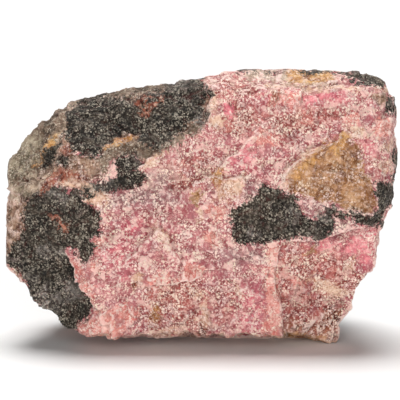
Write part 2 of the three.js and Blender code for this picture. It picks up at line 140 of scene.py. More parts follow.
# Scars of lost chips: the side they are on, their floor as a face, the steepness of their walls,
# and their edge as it is seen from that side
SCARS = {
    "step": ("front", (16, -18, (20, -25.3, 28)), 2, [
        (19.8, -50), (20.2, -32.5), (20.5, -29), (19.8, -25), (19, -20), (19.2, -15.5),
        (20.5, -10.8), (24, -9.5), (30, -9.5), (36.2, -7.8), (44, -6.2), (55, -5.5), (55, -50)]),
    "brow": ("front", (-7, 33, (-14, -25.4, 47.5)), 1.2, [
        (0.5, 37.5), (0.2, 30.5), (1.2, 27.5), (3, 25.2), (1.8, 22), (1.5, 19.5), (-1, 17.8),
        (-4.5, 16.5), (-5.8, 14.5), (-9.2, 12.5), (-12.5, 10.8), (-15.5, 8.5), (-35, 10),
        (-40, 40)]),
    "honey_flake": ("front", (3, 9, (28, -24.9, 42)), 1.2, [
        (21, 1.8), (20.2, 4), (20.8, 7), (22.8, 9), (25.8, 10.8), (29.5, 12.2), (32.5, 13.8),
        (35.5, 15.8), (39, 15.5), (40.8, 12.5), (40.2, 8), (42, 5), (43.5, 1.2), (44.5, -3),
        (40, -3.5), (35, -2.2), (27.5, 0)]),
    "under_lip": ("front", (0, -25, (0, -5, 1)), 3, [
        (-35, -55), (-35, -32.2), (-30.5, -31.7), (-28.5, -32.1), (-26.5, -32.6), (-22, -33.3),
        (-15, -33.8), (-10, -33.9), (-6, -34), (-2.5, -33.5), (0, -34), (1.5, -34.1), (3.2, -33.4),
        (6.5, -33.2), (11.2, -32.5), (14.5, -33.1), (17, -32.8), (19.2, -33.9), (20.5, -33.3),
        (21.5, -32.8), (26, -33.9), (30, -34.9), (33.4, -35.7), (34.2, -37), (34.5, -55)]),
    "back_chip": ("back", (164, 24, (-6, 23, 50)), 1.2, [
        (-60, -6), (-38, -2), (-24, 10), (-10, 8), (2, 13), (14, 6), (26, 12), (30, 50), (-60, 50)]),
    "back_step": ("back", (188, -9, (-14, 23.6, 20)), 1.5, [
        (-6, -40), (-3, -24), (4, -12), (0, -2), (14, 3), (30, -3), (44, -8), (44, -40)]),
    "right_chip": ("right", (100, 18, (46.2, 4, 50)), 1.3, [
        (-4, 9), (4, 4), (12, 8), (22, 2), (34, 6), (34, 34), (-2, 34), (2, 20)]),
    "left_chip": ("left", (-104, -10, (-46, 6, 24)), 1.4, [
        (-26, -6), (-14, 2), (-4, -4), (3, -16), (2, -34), (-26, -34)]),
}

# Ledges: side, height, how far they fade out, and the line that they follow with the raised
# ground on its left hand
LEDGES = {
    "wedge_lip": ("front", 1.6, 6, [(-34.5, 14.8), (-37, 12.5), (-39.5, 10.8), (-41, 8.8)]),
    "shoulder_ridge": ("front", 0.9, 4, [
        (-33, 22.5), (-33.6, 18.5), (-34, 15.5), (-33.7, 14), (-34.5, 11), (-35.8, 8.5),
        (-37.8, 6.2), (-39.2, 4.2)]),
    "left_cap": ("front", 1, 7, [(-40, 4.8), (-43.5, 4.2), (-46.5, 3.5), (-48, 3.8)]),
    "brow_streak": ("front", 0.9, 4, [(-15.2, 16.8), (-18.5, 15.8), (-21.5, 14.2), (-23.2, 12.8)]),
    "band": ("front", 0.7, 5, [(-21.5, 12.5), (-24, 10.5), (-27.5, 10.5), (-31, 11.2), (-33.5, 10)]),
    "brow_border": ("front", 0.8, 4, [
        (1.8, 22), (1.5, 19.5), (-1, 17.8), (-4.5, 16.5), (-5.8, 14.5), (-9.2, 12.5),
        (-12.5, 10.8), (-15.5, 8.2)]),
    "honey_rim": ("front", 1.1, 3.5, [
        (35.5, 16), (32.5, 14), (29.5, 12.5), (25.8, 11.2), (22.8, 9.5), (20.8, 7.2), (20.2, 4),
        (21, 1.8)]),
    "honey_ridge": ("front", 0.6, 2.5, [(34, 5.8), (30.5, 7), (28.5, 8.5), (27.8, 11)]),
    "lump_crest": ("front", 1.3, 6, [
        (-4.8, -15.8), (-5.8, -14), (-7.2, -11.2), (-8.2, -8.8), (-9.2, -7), (-11.2, -6.8),
        (-12.5, -7.8), (-14.5, -11.2), (-17.2, -14.2)]),
    "flake": ("front", 1.6, 4, [
        (-4.5, -15.8), (-4.2, -17.5), (-5.5, -19.2), (-3.5, -20.2), (-1.8, -20.5), (0.2, -19.2),
        (2.5, -18.2)]),
    "below_flake": ("front", 1, 6, [(-13, -22), (-10.5, -21.5), (-7.5, -21), (-5, -20.8)]),
    "left_strip": ("front", 1.6, 6, [
        (-34.5, -12.5), (-33, -15.8), (-30.2, -20.5), (-28, -23), (-25.8, -25.5)]),
    "foot_lobe": ("front", 1, 5, [(-23, -27), (-25, -27.8), (-27.5, -29), (-30.5, -30.8)]),
    "low_lump": ("front", 0.9, 4, [
        (-15, -28.5), (-18, -26), (-20.5, -26.2), (-21.8, -29.2), (-22.5, -32.8)]),
    "middle_ridge": ("front", 1, 6, [
        (13, -19), (10, -20), (9, -22.5), (10, -26), (8, -29.5), (6.2, -32.5)]),
    "high_crest": ("front", 1.3, 7, [
        (18.5, 23.5), (17, 20.5), (15, 17.5), (12.5, 15), (10, 13.2), (7.5, 11.2), (5.2, 8.8)]),
    "pale_lump": ("front", 0.9, 4, [
        (40.8, 18.2), (39.8, 20.2), (37.8, 22), (35.8, 21.8), (33.8, 19.8)]),
    "right_lump": ("front", 0.9, 4, [(48.2, 20.2), (45.8, 20.5), (44, 18.8), (42.8, 15.5)]),
    "shelf": ("front", 1, 6, [(17.5, 20.8), (20.8, 21), (23, 21.2), (24.8, 23), (25.2, 25.8)]),
    "top_seam": ("front", 0.6, 2.5, [
        (2.5, 29.5), (8, 29), (11.5, 28.8), (18.8, 27.5), (25, 27.5), (30, 27.5), (36.2, 26.5),
        (42.5, 26.2), (48, 25.5)]),
    "top_seam_back": ("front", 0.5, 2.5, [
        (10, 32.2), (15.5, 30.2), (21.2, 30), (26.2, 29), (32.5, 28.8), (37, 30), (41.2, 28.5),
        (46.2, 28)]),
    "cream_ledge": ("front", 1, 5, [(32, -26), (33.2, -24.2), (35.5, -22.5), (38.5, -21.2)]),
    "cream_step": ("front", 0.8, 4, [(25, -22), (27.5, -21), (29, -22.2), (32, -23.2)]),
    "foot_lip": ("front", 0.8, 1.6, [
        (34.6, -34.6), (32.5, -34.2), (29, -33.4), (25.8, -32.6), (23, -31.9)]),
    "white_chip": ("front", 0.8, 4, [(-41, -24.2), (-39, -23.2), (-37, -24.2), (-35, -26.5)]),
    "left_crumple": ("front", 0.7, 4, [(-40.5, 0.5), (-37.5, -2.2), (-35, -6.5)]),
    "vein": ("front", 0.7, 4, [(43.5, -14), (42.2, -11.8), (40, -9.5), (38, -8.8), (36, -10.2)]),
    "middle_lump": ("front", 0.8, 4, [(4.2, -9), (4, -11.5), (1.8, -14.2), (0, -12.5)]),
    "cream_patch": ("front", 0.8, 5, [(11.5, 3.5), (10, 5.5), (6.5, 4.8), (3.5, 6.5), (1.5, 6)]),
    "back_rib": ("back", 1.2, 6, [(-38, -8), (-22, -2), (-12, -12), (4, -8), (10, -20)]),
    "back_rib_high": ("back", 1, 5, [(34, 12), (24, 20), (10, 17), (0, 24), (-12, 22)]),
    "back_rib_low": ("back", 1.1, 6, [(20, -26), (10, -16), (-4, -22), (-18, -18), (-28, -24)]),
    "right_rib": ("right", 1.1, 5, [(-16, -14), (-4, -6), (8, -12), (20, -4)]),
    "right_rib_high": ("right", 0.9, 5, [(22, 22), (10, 16), (0, 22), (-10, 14)]),
    "left_rib": ("left", 1, 5, [(-20, 8), (-8, 2), (4, 9), (14, 4)]),
}

# Hollows in the front: depth, radius, place
HOLLOWS = {
    "black_pit": (2.4, 5.2, (-37, -17.8)),
    "wedge": (1.6, 2.6, (-37.8, 9.8)),
    "step_head": (1.2, 2, (21, -12.2)),
    "high_left": (1.1, 3.4, (9, 18.2)),
    "high_middle": (1.2, 3.6, (14.5, 22)),
    "below_flake": (1.1, 4, (-7, -23)),
    "beside_honey": (0.9, 3, (19, 12)),
    "behind_crest": (0.8, 3.5, (-15, -9)),
    "honey": (1, 4, (37.5, 12.5)),
    "low_right": (0.9, 3, (25.8, -25)),
    "left_pit": (0.7, 0.7, (-46.5, -2.2)),
    "left_pit_middle": (0.8, 0.8, (-46.2, -6.8)),
    "left_pit_low": (0.7, 0.8, (-46, -9.8)),
    "black_foot": (0.9, 4, (-30.5, -26.2)),
    "black_patch": (0.8, 4.5, (15, -6.2)),
}

# Colours by place on the front: right of the middle and above it
PATCHES = {
    "dull": [  # dull brown-red
        [(36.25, -18.75), (39, -16.5), (43, -16.5), (42, -20.25), (38.5, -23), (35.5, -21.5)],
        [(-14.5, -21), (-6, -19.75), (0, -20.5), (3.25, -25), (2.25, -32.5), (-3.5, -34.25),
         (-12.5, -34.25), (-16, -29)],
        # Right of the step: dull brown-red, and darker in part as painted shade of the recess.
        [(20.5, -11.25), (29.5, -12), (36.5, -14.5), (38.5, -20), (36.5, -25), (36.5, -33.5),
         (25, -33), (20.25, -29.5), (20, -20)],
        [(0.5, 31), (6.5, 30.5), (14, 29.5), (15.5, 26.5), (9, 26), (6, 25.75), (10, 25),
         (15.5, 23), (17.5, 21), (14.5, 19.5), (11.5, 16.5), (6.5, 17), (3.5, 21), (1.5, 25)],
        [(17.5, 20.5), (25, 24), (35, 23.5), (34.5, 19), (29.5, 17.5), (25, 15), (21, 13.5),
         (18, 16)],
        [(-14.5, 6), (1.5, 12.5), (4, 8.5), (1, 2.5), (-6, 2), (-12.5, 3.5)],
        [(3, -22.5), (9, -22.5), (8, -30), (4, -30.5)],
        [(40, 10), (43, 11), (45, 8), (44, 5.5), (41, 5.5), (39.5, 8)],
    ],
    "bright": [  # bright pink
        [(6.5, 7.5), (10, 13.5), (13, 13.5), (14.5, 10), (12.5, 7), (9.5, 5)],
        [(15.5, 26.5), (25, 27), (36.5, 26.75), (36.5, 24.5), (30, 23.75), (22.5, 24),
         (16.5, 24.5)],
        [(9, -21.5), (14, -20), (16.5, -22), (15.5, -26), (11, -26), (9, -24)],
        [(41.5, -7.5), (45.25, -7), (44.75, -11.5), (43.25, -14.5), (40.5, -17), (39.5, -14.5),
         (42, -12.5)],
        [(-20, -5.5), (-15, -5.5), (-14.5, -9), (-18.5, -10)],
        [(-24, -11), (-19, -9.5), (-16.5, -13.5), (-19, -19), (-23.5, -18)],
        [(-2.75, -13.5), (-0.25, -13.5), (-0.25, -15.75), (-2.5, -15.75)],
        [(39.25, 14), (42, 14.5), (43, 11.5), (40.5, 10.75)],
        [(10, -28), (15.5, -26.5), (15.5, -31.5), (11, -32)],
    ],
    "mauve": [  # greyish mauve
        [(-25, -0.5), (-22, 2), (-15, 3), (-10.5, 4), (-5.5, 2.5), (-6, -0.5), (-12.5, -2),
         (-20, -2), (-24, -2.5)],
        [(25.5, -1.5), (27, -0.25), (29.5, -0.75), (31.75, -1.5), (30, -3.25), (26.5, -3.5)],
        [(33, -7), (34.5, -4.5), (37.5, -4.5), (38.75, -6.5), (37.5, -9), (34.5, -10), (33.25, -9)],
        [(10.5, 0.5), (11.25, 3.5), (14, 4.5), (16, 3.5), (13.75, 1.25), (12, -0.75)],
        [(-27, 7.5), (-24, 9.25), (-20.5, 10), (-19.75, 8.5), (-22, 6.25), (-25.5, 4.75),
         (-28, 5.75)],
        [(21.5, -1.25), (22.75, -1), (23, -3.75), (21.5, -3.75)],
        [(-13.5, 7), (-10.5, 8), (-7.5, 7), (-8, 3.5), (-12, 2.5), (-13.5, 4)],
        [(5.5, -12.5), (10, -13), (17.5, -12.5), (16.5, -15.5), (10, -17), (5.5, -15.5)],
    ],
    "salmon": [  # clean salmon pink
        [(-32.5, -14), (-30.5, -15.5), (-28, -17.5), (-26.5, -20.5), (-25.5, -24.25),
         (-27, -24.75), (-29, -22.5), (-31, -19), (-33, -16)],
        [(-29, -29.5), (-27, -28.5), (-24, -27), (-21, -26.5), (-17.5, -26), (-15.5, -27.5),
         (-16, -30.5), (-19, -32), (-22.5, -34), (-26, -34), (-29, -33)],
        [(-6, -19.75), (-4, -17), (-3.5, -15.5), (-1.25, -15.5), (1, -17.75), (3, -18),
         (0.75, -19.75), (-1.5, -20.75), (-4, -20.5)],
        [(-12.75, -18.75), (-10, -17.5), (-7.5, -18), (-6.5, -19.5), (-8.5, -21), (-11.5, -21.5),
         (-13, -20.5)],
        [(17, 25.5), (20.75, 27), (25, 25.5), (24.5, 21.5), (21, 21.5), (17.5, 23.5)],
        [(34.75, 20.5), (36.5, 22), (38.5, 22), (39.75, 20), (38.5, 18.25), (36, 18.25)],
        [(43, 19), (45, 20.75), (47.75, 20.25), (48, 17.5), (46.5, 15.5), (44, 15.5), (42.75, 17)],
        [(17, -13), (18.5, -11), (20, -10.25), (20.25, -13), (19.5, -16), (20, -22.5),
         (20.25, -34), (16.5, -34), (14.5, -31.5), (16, -26.5), (16.75, -22.5), (16.5, -17.5)],
        [(0.5, -2), (4, -0.5), (6.25, -1), (6, -3.75), (3.75, -5.5), (1, -4)],
        [(13, 16.75), (15.5, 17.5), (19, 15.5), (19, 13), (16, 13), (13.5, 13.5)],
        [(-27.5, -15.5), (-25.25, -15.5), (-25, -18), (-27, -18.5)],
        [(-27, -10), (-24.5, -9.5), (-23.5, -11), (-25.25, -13), (-26.5, -12.5)],
        [(1.75, -8), (3.75, -7.5), (5, -9.5), (4, -12.75), (2.25, -12)],
        [(22, -20.25), (24.5, -20), (25.5, -21), (23.5, -22)],
    ],
    "rose": [  # smooth rose
        [(36.25, -13), (37, -10.5), (38.25, -8.75), (40.5, -9.75), (42.25, -12.5), (42, -14.75),
         (39, -14.75)],
        [(30, -11), (31.5, -10.25), (33.25, -10.75), (33, -13), (30.75, -13.25)],
        [(9.75, 12.5), (12.25, 13.5), (13.5, 10.5), (11.75, 8), (10, 9)],
        [(25, 26.25), (32.5, 26.5), (34, 25.5), (29.5, 24.5), (25.5, 24.5)],
        [(6, 24), (8.5, 24), (9, 21), (6.5, 20), (5.25, 21.5)],
    ],
    "honey": [  # honey-coloured faces
        [(20.75, 2), (20.5, 4.5), (21.5, 7), (23.5, 9), (25.75, 10.5), (29, 12.25), (32.5, 13.5),
         (35, 15.5), (36.5, 16.5), (38.5, 15.5), (40, 13.25), (40.5, 10.5), (40.5, 8), (42, 5),
         (43, 2), (44.5, -2), (41.5, -3.5), (38, -2.75), (34.5, -1.5), (30.5, -0.25), (26.5, 0.5),
         (23.5, 1)],
        [(-3, -1.25), (-2.5, 1.5), (0, 2.5), (1.25, 0.5), (0, -1.75)],
        [(27, -11.5), (29.5, -12), (29, -14), (27, -13.5)],
    ],
    "tan": [  # weathered tan
        [(-36.5, 7), (-32.5, 11), (-25, 11), (-21.5, 10), (-22, 7), (-25, 5), (-28, 3.5),
         (-35, 3.5)],
        [(-51.5, 4), (-49.5, 11), (-47, 15), (-43.5, 20.5), (-38.5, 23.5), (-33.5, 28),
         (-22.5, 30), (-7.5, 32), (0.5, 33), (2.5, 25), (2.25, 19.5), (-0.5, 16.5), (-4, 15),
         (-7, 12.5), (-10, 10.5), (-13.5, 9.75), (-20, 10.5), (-25, 10.25), (-29, 11.25),
         (-32, 10.5), (-34.5, 7), (-36, 3.5), (-38, 1), (-42.5, -0.5), (-44, -10), (-47, -17),
         (-51.5, -16.5), (-51.5, -5)],
        [(42, 26.5), (46.5, 27.25), (48, 24), (46, 23), (43, 24.25)],
        [(-47.5, -16), (-44.5, -17), (-42.75, -18.5), (-44, -21), (-46.5, -19)],
        [(-30, -23), (-26.5, -24.5), (-25.5, -27), (-28.5, -26.5)],
        [(-25.5, 4.5), (-20.5, 4), (-22, 1.5), (-25.5, 1), (-28, 0), (-30, 3.5)],
    ],
    "skin": [  # weathered grey-brown skin
        [(-24.25, 9.5), (-22.5, 12.5), (-18.5, 14.75), (-15, 16), (-12, 13.5), (-8, 14),
         (-4.5, 16.75), (-2.5, 16), (-4.5, 13.5), (-7.75, 11.5), (-10.75, 10), (-15, 10.25),
         (-19.5, 10), (-22, 7.5), (-24, 6.5)],
        [(-24, 25.5), (-23.5, 29.5), (-15, 31), (-8.5, 32), (-8.5, 28.5), (-10.5, 26.75),
         (-14.5, 25.75), (-18.5, 25.25)],
        [(-51, 5.5), (-50, 10.5), (-48, 14), (-46, 16.5), (-44, 20), (-39.5, 22), (-38, 23.5),
         (-36.5, 25.5), (-34, 27.5), (-29, 28.5), (-25, 29), (-23, 28.5), (-22.5, 25.5),
         (-25, 24.5), (-29, 24.25), (-31, 23.25), (-32.25, 21.5), (-33, 19.5), (-33.5, 17),
         (-34, 14.75), (-35, 12.5), (-36.5, 10.5), (-38.25, 8.75), (-39.5, 7), (-40, 5),
         (-38.75, 2.5), (-40, 0.75), (-42.5, 0), (-45, 1), (-47, 3.5)],
        [(-4.5, 19.25), (-1, 19), (1, 19.5), (0, 17), (-2.5, 15.5), (-4.75, 15.75), (-3.75, 17.75)],
    ],
    "moss": [  # grey-green skin
        [(-50.5, 7), (-49, 11.5), (-46.5, 15), (-43.5, 16.5), (-41, 16.5), (-40, 13.5),
         (-41, 10.5), (-42, 7.5), (-42.5, 4.5), (-44.5, 5.5), (-47.5, 4)],
        [(-44.5, 3.5), (-41.5, 5), (-39, 5.5), (-39, 2.5), (-40.5, 0.5), (-43.5, 0.5)],
        [(-31.5, 24), (-28, 24.75), (-24, 25), (-25, 23.5), (-29, 23.25), (-31, 22.5)],
    ],
    "gold": [  # golden streaks
        [(-42, 8.5), (-40, 12), (-37.5, 14.5), (-34.75, 16.5), (-33.5, 16), (-34.25, 13.25),
         (-36.5, 11.75), (-39, 9.5)],
        [(-23.25, 12.5), (-22, 14.25), (-19, 15.5), (-15, 17), (-15, 15.75), (-18, 14.5),
         (-20.75, 13.5), (-22.5, 12)],
        # A painted golden sheen on the upper left of the honey face.
        [(22, 6), (23.5, 9.25), (25.75, 11), (28.5, 12.25), (29, 10.5), (27.5, 8.5), (25, 7),
         (23, 4)],
        [(29.5, 13.5), (32.5, 14.5), (35.5, 16), (37.5, 15), (36, 12.5), (33, 12), (30.5, 12)],
        [(20.5, 30), (21.25, 32.5), (25, 34), (32, 33.5), (33.5, 31), (32.75, 28.75), (28, 28.5),
         (24.25, 29.5)],
        # The golden lip under the foot: the thin flake's own colour, with its yellow rim painted as
        # light shining through it.
        [(20, -32), (24, -32.5), (28, -33.25), (31.5, -34), (37.5, -34.5), (38, -41.5),
         (29.5, -40.5), (24, -39), (20, -37)],
        [(3, 5.25), (3.5, 7.25), (5, 8), (6, 5.5), (5.25, 3), (3.75, 2.5)],
        [(-13, -27.5), (-11, -26), (-10, -29), (-11, -31.75), (-12.5, -30.75)],
    ],
    "bone": [  # pale beige
        [(10, 32), (15.5, 33), (21.75, 33), (21.75, 29.75), (16, 29.75), (11.5, 30.25)],
        [(-32.25, 24), (-30.75, 22.75), (-32.25, 20), (-32.75, 17), (-33.25, 14), (-34.75, 12),
         (-35.75, 10), (-37.25, 8), (-38.5, 5.5), (-40.5, 4.5), (-40, 7), (-37.5, 10.5),
         (-35.75, 13), (-35, 15.5), (-34.5, 18.5), (-33.5, 22)],
        [(-42.5, 0), (-41.75, 4), (-38.5, 4.5), (-37.5, 2.5), (-39.5, 0.5)],
        [(-27.5, 4), (-25.25, 4.25), (-25, 2.5), (-27, 2)],
        [(-42.5, -7.5), (-41.25, -7), (-40.75, -10.5), (-41.75, -11.75), (-42.75, -9.5)],
        # A pale strip along the top bevel: partly its own beige banding, partly painted light on the
        # upward-facing face.
        [(16, 30.5), (25, 29.5), (35, 29), (36.5, 27.5), (25, 27.5), (16, 28.5)],
        [(-49.5, 3), (-46.5, 3.75), (-45, 2.5), (-45.5, 0), (-49, -1)],
        [(-43.5, 6), (-41.5, 7.5), (-39, 7), (-38, 5), (-40.5, 2.5), (-43, 2.5)],
    ],
    "cream": [  # cream spots
        [(3, 0.75), (4.5, 3.25), (6.5, 4.75), (9, 5.25), (10.75, 6.25), (11.75, 4.5), (10.5, 2.25),
         (9, 0.25), (6.5, -0.25)],
        [(36.5, 16.75), (37, 18.25), (40, 18.25), (42, 17.5), (41.5, 16), (40, 15), (38, 16)],
        [(1.75, 20), (3.5, 20.75), (5.5, 20), (6, 18.25), (3.5, 17.5), (2, 18.5)],
        [(1.75, 25.75), (3.25, 26.5), (4.5, 24), (4, 21.5), (2, 21)],
        [(0, -26.5), (2, -26), (2.5, -29.5), (3.75, -31), (1, -32.5), (-1.5, -32), (-0.5, -30)],
        [(-16.5, -18.25), (-14.5, -17.25), (-13.25, -19.5), (-14.25, -22.5), (-15.75, -21.25)],
        [(27, -19.5), (30, -20), (33.5, -21), (36.5, -22), (38.25, -22.5), (35.5, -24.25),
         (33.5, -25.5), (32.5, -25.75), (32.75, -23.5), (30.5, -22.75), (28, -21.5)],
        [(36.25, -15.75), (37.5, -14.25), (39, -15.5), (38, -17.5), (36.5, -17.5)],
        [(46.5, 14.75), (47.75, 15.5), (49, 13.5), (48.25, 11.5), (46.75, 12.25)],
        [(44.5, 9.5), (46.5, 10.25), (47.75, 8.25), (46, 6.5)],
        [(-13, 9.75), (-11, 10.75), (-7.5, 11.75), (-9.5, 9.5), (-12.5, 8.25), (-14.75, 7.25),
         (-15.25, 8.25)],
        [(-12.5, -6.25), (-10.5, -5.75), (-8.5, -7.75), (-7.25, -10.5), (-8, -12.75),
         (-9.25, -10.25), (-11, -7.75)],
        [(-1.25, -2.75), (1, -1.5), (1, -3.5), (-0.25, -6.5), (-1, -5)],
        [(-28.5, 0), (-26.5, 1.75), (-24.25, 2.5), (-22.5, 1), (-24, -1.25), (-26.5, -1.5)],
        [(-34.5, 4.75), (-29, 4.75), (-26.75, 3.5), (-30, 2.5), (-32.5, 3.25)],
        [(-29, -33.25), (-25, -33.88), (-20, -34.5), (-12.5, -34.75), (-5, -34.5), (0, -35),
         (5, -34.25), (10, -33.5), (15.5, -33.75), (20, -34.5), (20, -32.75), (15.5, -32.5),
         (10, -32.38), (5, -33), (0, -33.75), (-5, -33.5), (-12.5, -33.62), (-20, -33.38),
         (-25, -32.88)],
        [(19.75, 1), (19.75, 4), (20.5, 6.75), (22.25, 9.25), (25, 11), (27.25, 12.75),
         (26.75, 11), (24.75, 9.25), (23, 7.75), (21.75, 5.5), (21.25, 2.5)],
        # A pale strip along the top bevel: partly its own cream banding, partly painted light on the
        # upward-facing face.
        [(16, 30), (25, 28.75), (36, 28.25), (47, 28.25), (47.25, 27.25), (36, 26.75), (30, 27),
         (25, 27.75), (16, 28.75)],
        [(-2, -22.75), (0, -22), (1, -24), (-1, -24.5)],
        [(9, -21.5), (10.5, -21), (11, -23), (9, -24)],
    ],
    "oxide": [  # black manganese oxide
        [(-33, 21), (-31.5, 22.75), (-30, 24.75), (-28.5, 26.25), (-26.5, 27.5), (-24.5, 27.25),
         (-22.5, 26), (-19, 25.75), (-16.5, 25.5), (-13.5, 26.5), (-11, 27), (-9, 28.5), (-8, 30),
         (-5.5, 31), (-2.5, 32), (0.75, 32.75), (1.25, 28.5), (2.25, 27), (3.25, 25.5), (1, 24.25),
         (1.5, 22.5), (1.25, 19.75), (-1, 19), (-3.25, 19.75), (-3.75, 18.25), (-4.5, 16.5),
         (-5.75, 15), (-7.5, 13.25), (-10, 12), (-12.5, 13), (-14.5, 15), (-15.5, 16.75),
         (-18.75, 16.25), (-21.75, 14.75), (-22.75, 12.5), (-23.75, 10.25), (-26, 9.75),
         (-28.5, 10.75), (-31.5, 12.25), (-33, 13.75), (-33.25, 17)],
        [(-20.5, 9), (-19, 10.75), (-16, 10.75), (-14.5, 9.25), (-15, 7.75), (-13.25, 6.5),
         (-13.25, 4.75), (-15, 3.25), (-18, 2.75), (-22, 2.25), (-25.5, 2.75), (-25.5, 4.25),
         (-23, 5), (-20.75, 6)],
        [(-40, 9.25), (-39, 10.5), (-37, 12), (-35, 13.25), (-33.5, 14.75), (-34.25, 12.5),
         (-35.75, 10.5), (-37.5, 8.75), (-39.25, 7.5)],
        [(-34.5, 10.5), (-32.5, 11.25), (-31.5, 10), (-32, 7.75), (-33.75, 8), (-34.75, 9)],
        [(-34.75, 7.75), (-35.25, 6.5), (-37.75, 3.75), (-38.5, 4.25), (-36, 6.75)],
        [(-44, 0.5), (-44.5, -3.75), (-45, -8), (-47, -11), (-48.5, -13.5), (-49.5, -16),
         (-46, -17.5), (-44, -19.5), (-44, -24), (-41.5, -26), (-39, -28), (-36.5, -31.5),
         (-35, -36), (-30, -35.5), (-29.5, -30), (-27.5, -28), (-25.75, -27.25), (-27, -25.5),
         (-29, -23), (-30.75, -20.5), (-32.25, -17.5), (-34, -15), (-34.5, -12.5), (-32.5, -11.5),
         (-30.5, -13), (-29.75, -15), (-27.5, -15.25), (-26.25, -13.25), (-26.25, -11.25),
         (-27.25, -10), (-24.75, -8.75), (-24.75, -3.5), (-26.75, -1.75), (-27.5, 0.25),
         (-25.5, 1.75), (-27.5, 3), (-31, 2.5), (-33.5, 3.25), (-35.5, 4), (-37.5, 2.5),
         (-39.5, 1.5), (-42, 1)],
        [(7, -2.5), (9, -1.75), (12, -0.25), (14, 2.5), (16, 3.5), (18, 2.5), (20.5, 2),
         (23.5, 0.5), (25.5, -1), (26, -3.5), (28, -5), (30, -4), (32.5, -2.5), (35.5, -2),
         (38, -3), (41.5, -4), (44, -3), (44, -1), (42.75, 2), (43, 4), (45.5, 5), (48, 4),
         (48.5, 1), (47.5, -1.5), (46, -3.5), (45.75, -6.5), (42.5, -7), (39, -6.5), (38, -4.5),
         (35, -4.25), (33.5, -5.5), (33, -8.5), (30.5, -10), (30, -11.5), (28, -9.5), (25, -9.5),
         (22, -9.5), (19, -10), (17, -11.5), (13, -11.5), (10, -11.75), (8.5, -10), (7.75, -7),
         (7, -5)],
        [(35.75, 30.75), (37.25, 32.5), (43, 32.5), (46, 31.5), (47.5, 28), (43.5, 28.25),
         (40, 29), (37.5, 30)],
        [(46.5, 25.75), (48.5, 27), (49.5, 23), (49.25, 20.5), (47.75, 21.75), (47, 24)],
        [(47.75, 12), (48.5, 14), (50.25, 10.5), (50, 6.5), (49, 4), (47.5, 5.5), (48, 9)],
        [(8.5, 35), (36.5, 35), (36.5, 31.88), (30, 32.12), (25, 32.38), (15.5, 32.38),
         (12.5, 32.25), (9.5, 31.5)],
    ],
    "frost": [  # pale grey bloom on the black
        [(-41.5, -24.25), (-40.5, -22.5), (-38.5, -22), (-36.5, -23.5), (-34.5, -25.5), (-35, -28),
         (-38.5, -28), (-41, -27)],
        [(-7, 28.88), (-3.5, 30), (-3.25, 29.38), (-6.5, 28.25)],
        [(-41.25, -12), (-38.5, -11.5), (-37.5, -13.5), (-35, -12.5), (-34, -14.5),
         (-36.5, -15.75), (-39.5, -14.75)],
        [(-35, -22), (-32, -21), (-30.25, -22.5), (-30.75, -25), (-34, -25.25)],
        [(29.25, -3.5), (32.75, -2.75), (32, -5.5), (29, -6.75)],
        [(21, -1.5), (25, -3), (24.25, -5.25), (21.25, -4.25)],
        [(-35.75, 1.5), (-33.5, 2.75), (-31.75, 1), (-33.5, -0.75)],
        [(-25.75, 4), (-22.5, 5), (-20.75, 3.5), (-24, 2.25)],
        [(11.75, -9.25), (13, -7), (14.75, -8), (13.5, -10.75)],
        [(-18, 10.5), (-16, 11), (-15.25, 8.75), (-17.5, 8.25)],
        [(-1, 20), (1.5, 22), (1.5, 19.5), (-0.5, 18.25)],
        [(-43, -18.5), (-41.75, -19.5), (-42, -21.5), (-43, -21)],
    ],
    "rust": [  # rusty streaks
        [(-16.5, 24.75), (-13, 25.25), (-9.5, 25.5), (-9, 25), (-12.5, 24.25), (-14.75, 23.25),
         (-16, 23.5)],
        [(-15, 22), (-12.5, 22.75), (-10, 24), (-9, 24), (-10.5, 22.5), (-13, 21.25)],
        [(20, -30.25), (24, -30.75), (28, -31), (31.5, -29), (37.5, -27), (37.5, -35.25),
         (32.5, -34.75), (28, -33.75), (24, -33), (20, -32.62)],
        [(-35.75, 6.75), (-33.5, 8), (-30, 7), (-26.75, 5.5), (-27.5, 4.5), (-31, 5), (-34, 4.75),
         (-36, 5.25)],
        [(-38.5, 3.25), (-37, 5), (-35, 5.25), (-35, 4), (-37, 2.5), (-38.5, 1)],
        [(-33.5, 12.5), (-31.5, 13.25), (-30.5, 12), (-31.5, 10.25), (-33.5, 10.5)],
        [(-17.25, -20), (-15.5, -19.5), (-15.5, -22), (-17, -22.5)],
        [(-1.25, -32.5), (2, -32), (2.5, -34.25), (-0.25, -35)],
        [(11, -13.5), (11.75, -13.5), (11.75, -14.75), (10.75, -14.5)],
        [(7, -20), (8.25, -20), (8, -21.5), (7, -21.25)],
        [(-37.5, -3), (-35.5, -4.25), (-33.5, -7), (-34.5, -8), (-36.5, -5.5)],
        [(17.5, 27), (20.5, 27), (20.5, 24.5), (18, 24)],
    ],
}


def smooth(t):
    """An even passage from 0 to 1."""
    t = np.clip(t, 0, 1)
    return t * t * (3 - 2 * t)


def outward(bearing, tilt):
    """A face's outward direction from its bearing and upward tilt in degrees."""
    turn, lift = np.radians(bearing), np.radians(tilt)
    return np.array([np.sin(turn) * np.cos(lift), -np.cos(turn) * np.cos(lift), np.sin(lift)])


def over_plane(p, face):
    """Height of points over a face: their offset from its point, along its outward direction."""
    bearing, tilt, point = face
    return (p - np.array(point)) @ outward(bearing, tilt)


def from_front(p):
    """Where points stand from the front: right of the middle and above it, in perspective."""
    up = p[:, 2] - MIDDLE[2]
    away = p[:, 1] * np.cos(VIEW_DROP) - up * np.sin(VIEW_DROP)
    scale = VIEW_DISTANCE / (VIEW_DISTANCE + away)
    high = p[:, 1] * np.sin(VIEW_DROP) + up * np.cos(VIEW_DROP)
    return np.stack([p[:, 0] * scale, high * scale], 1)


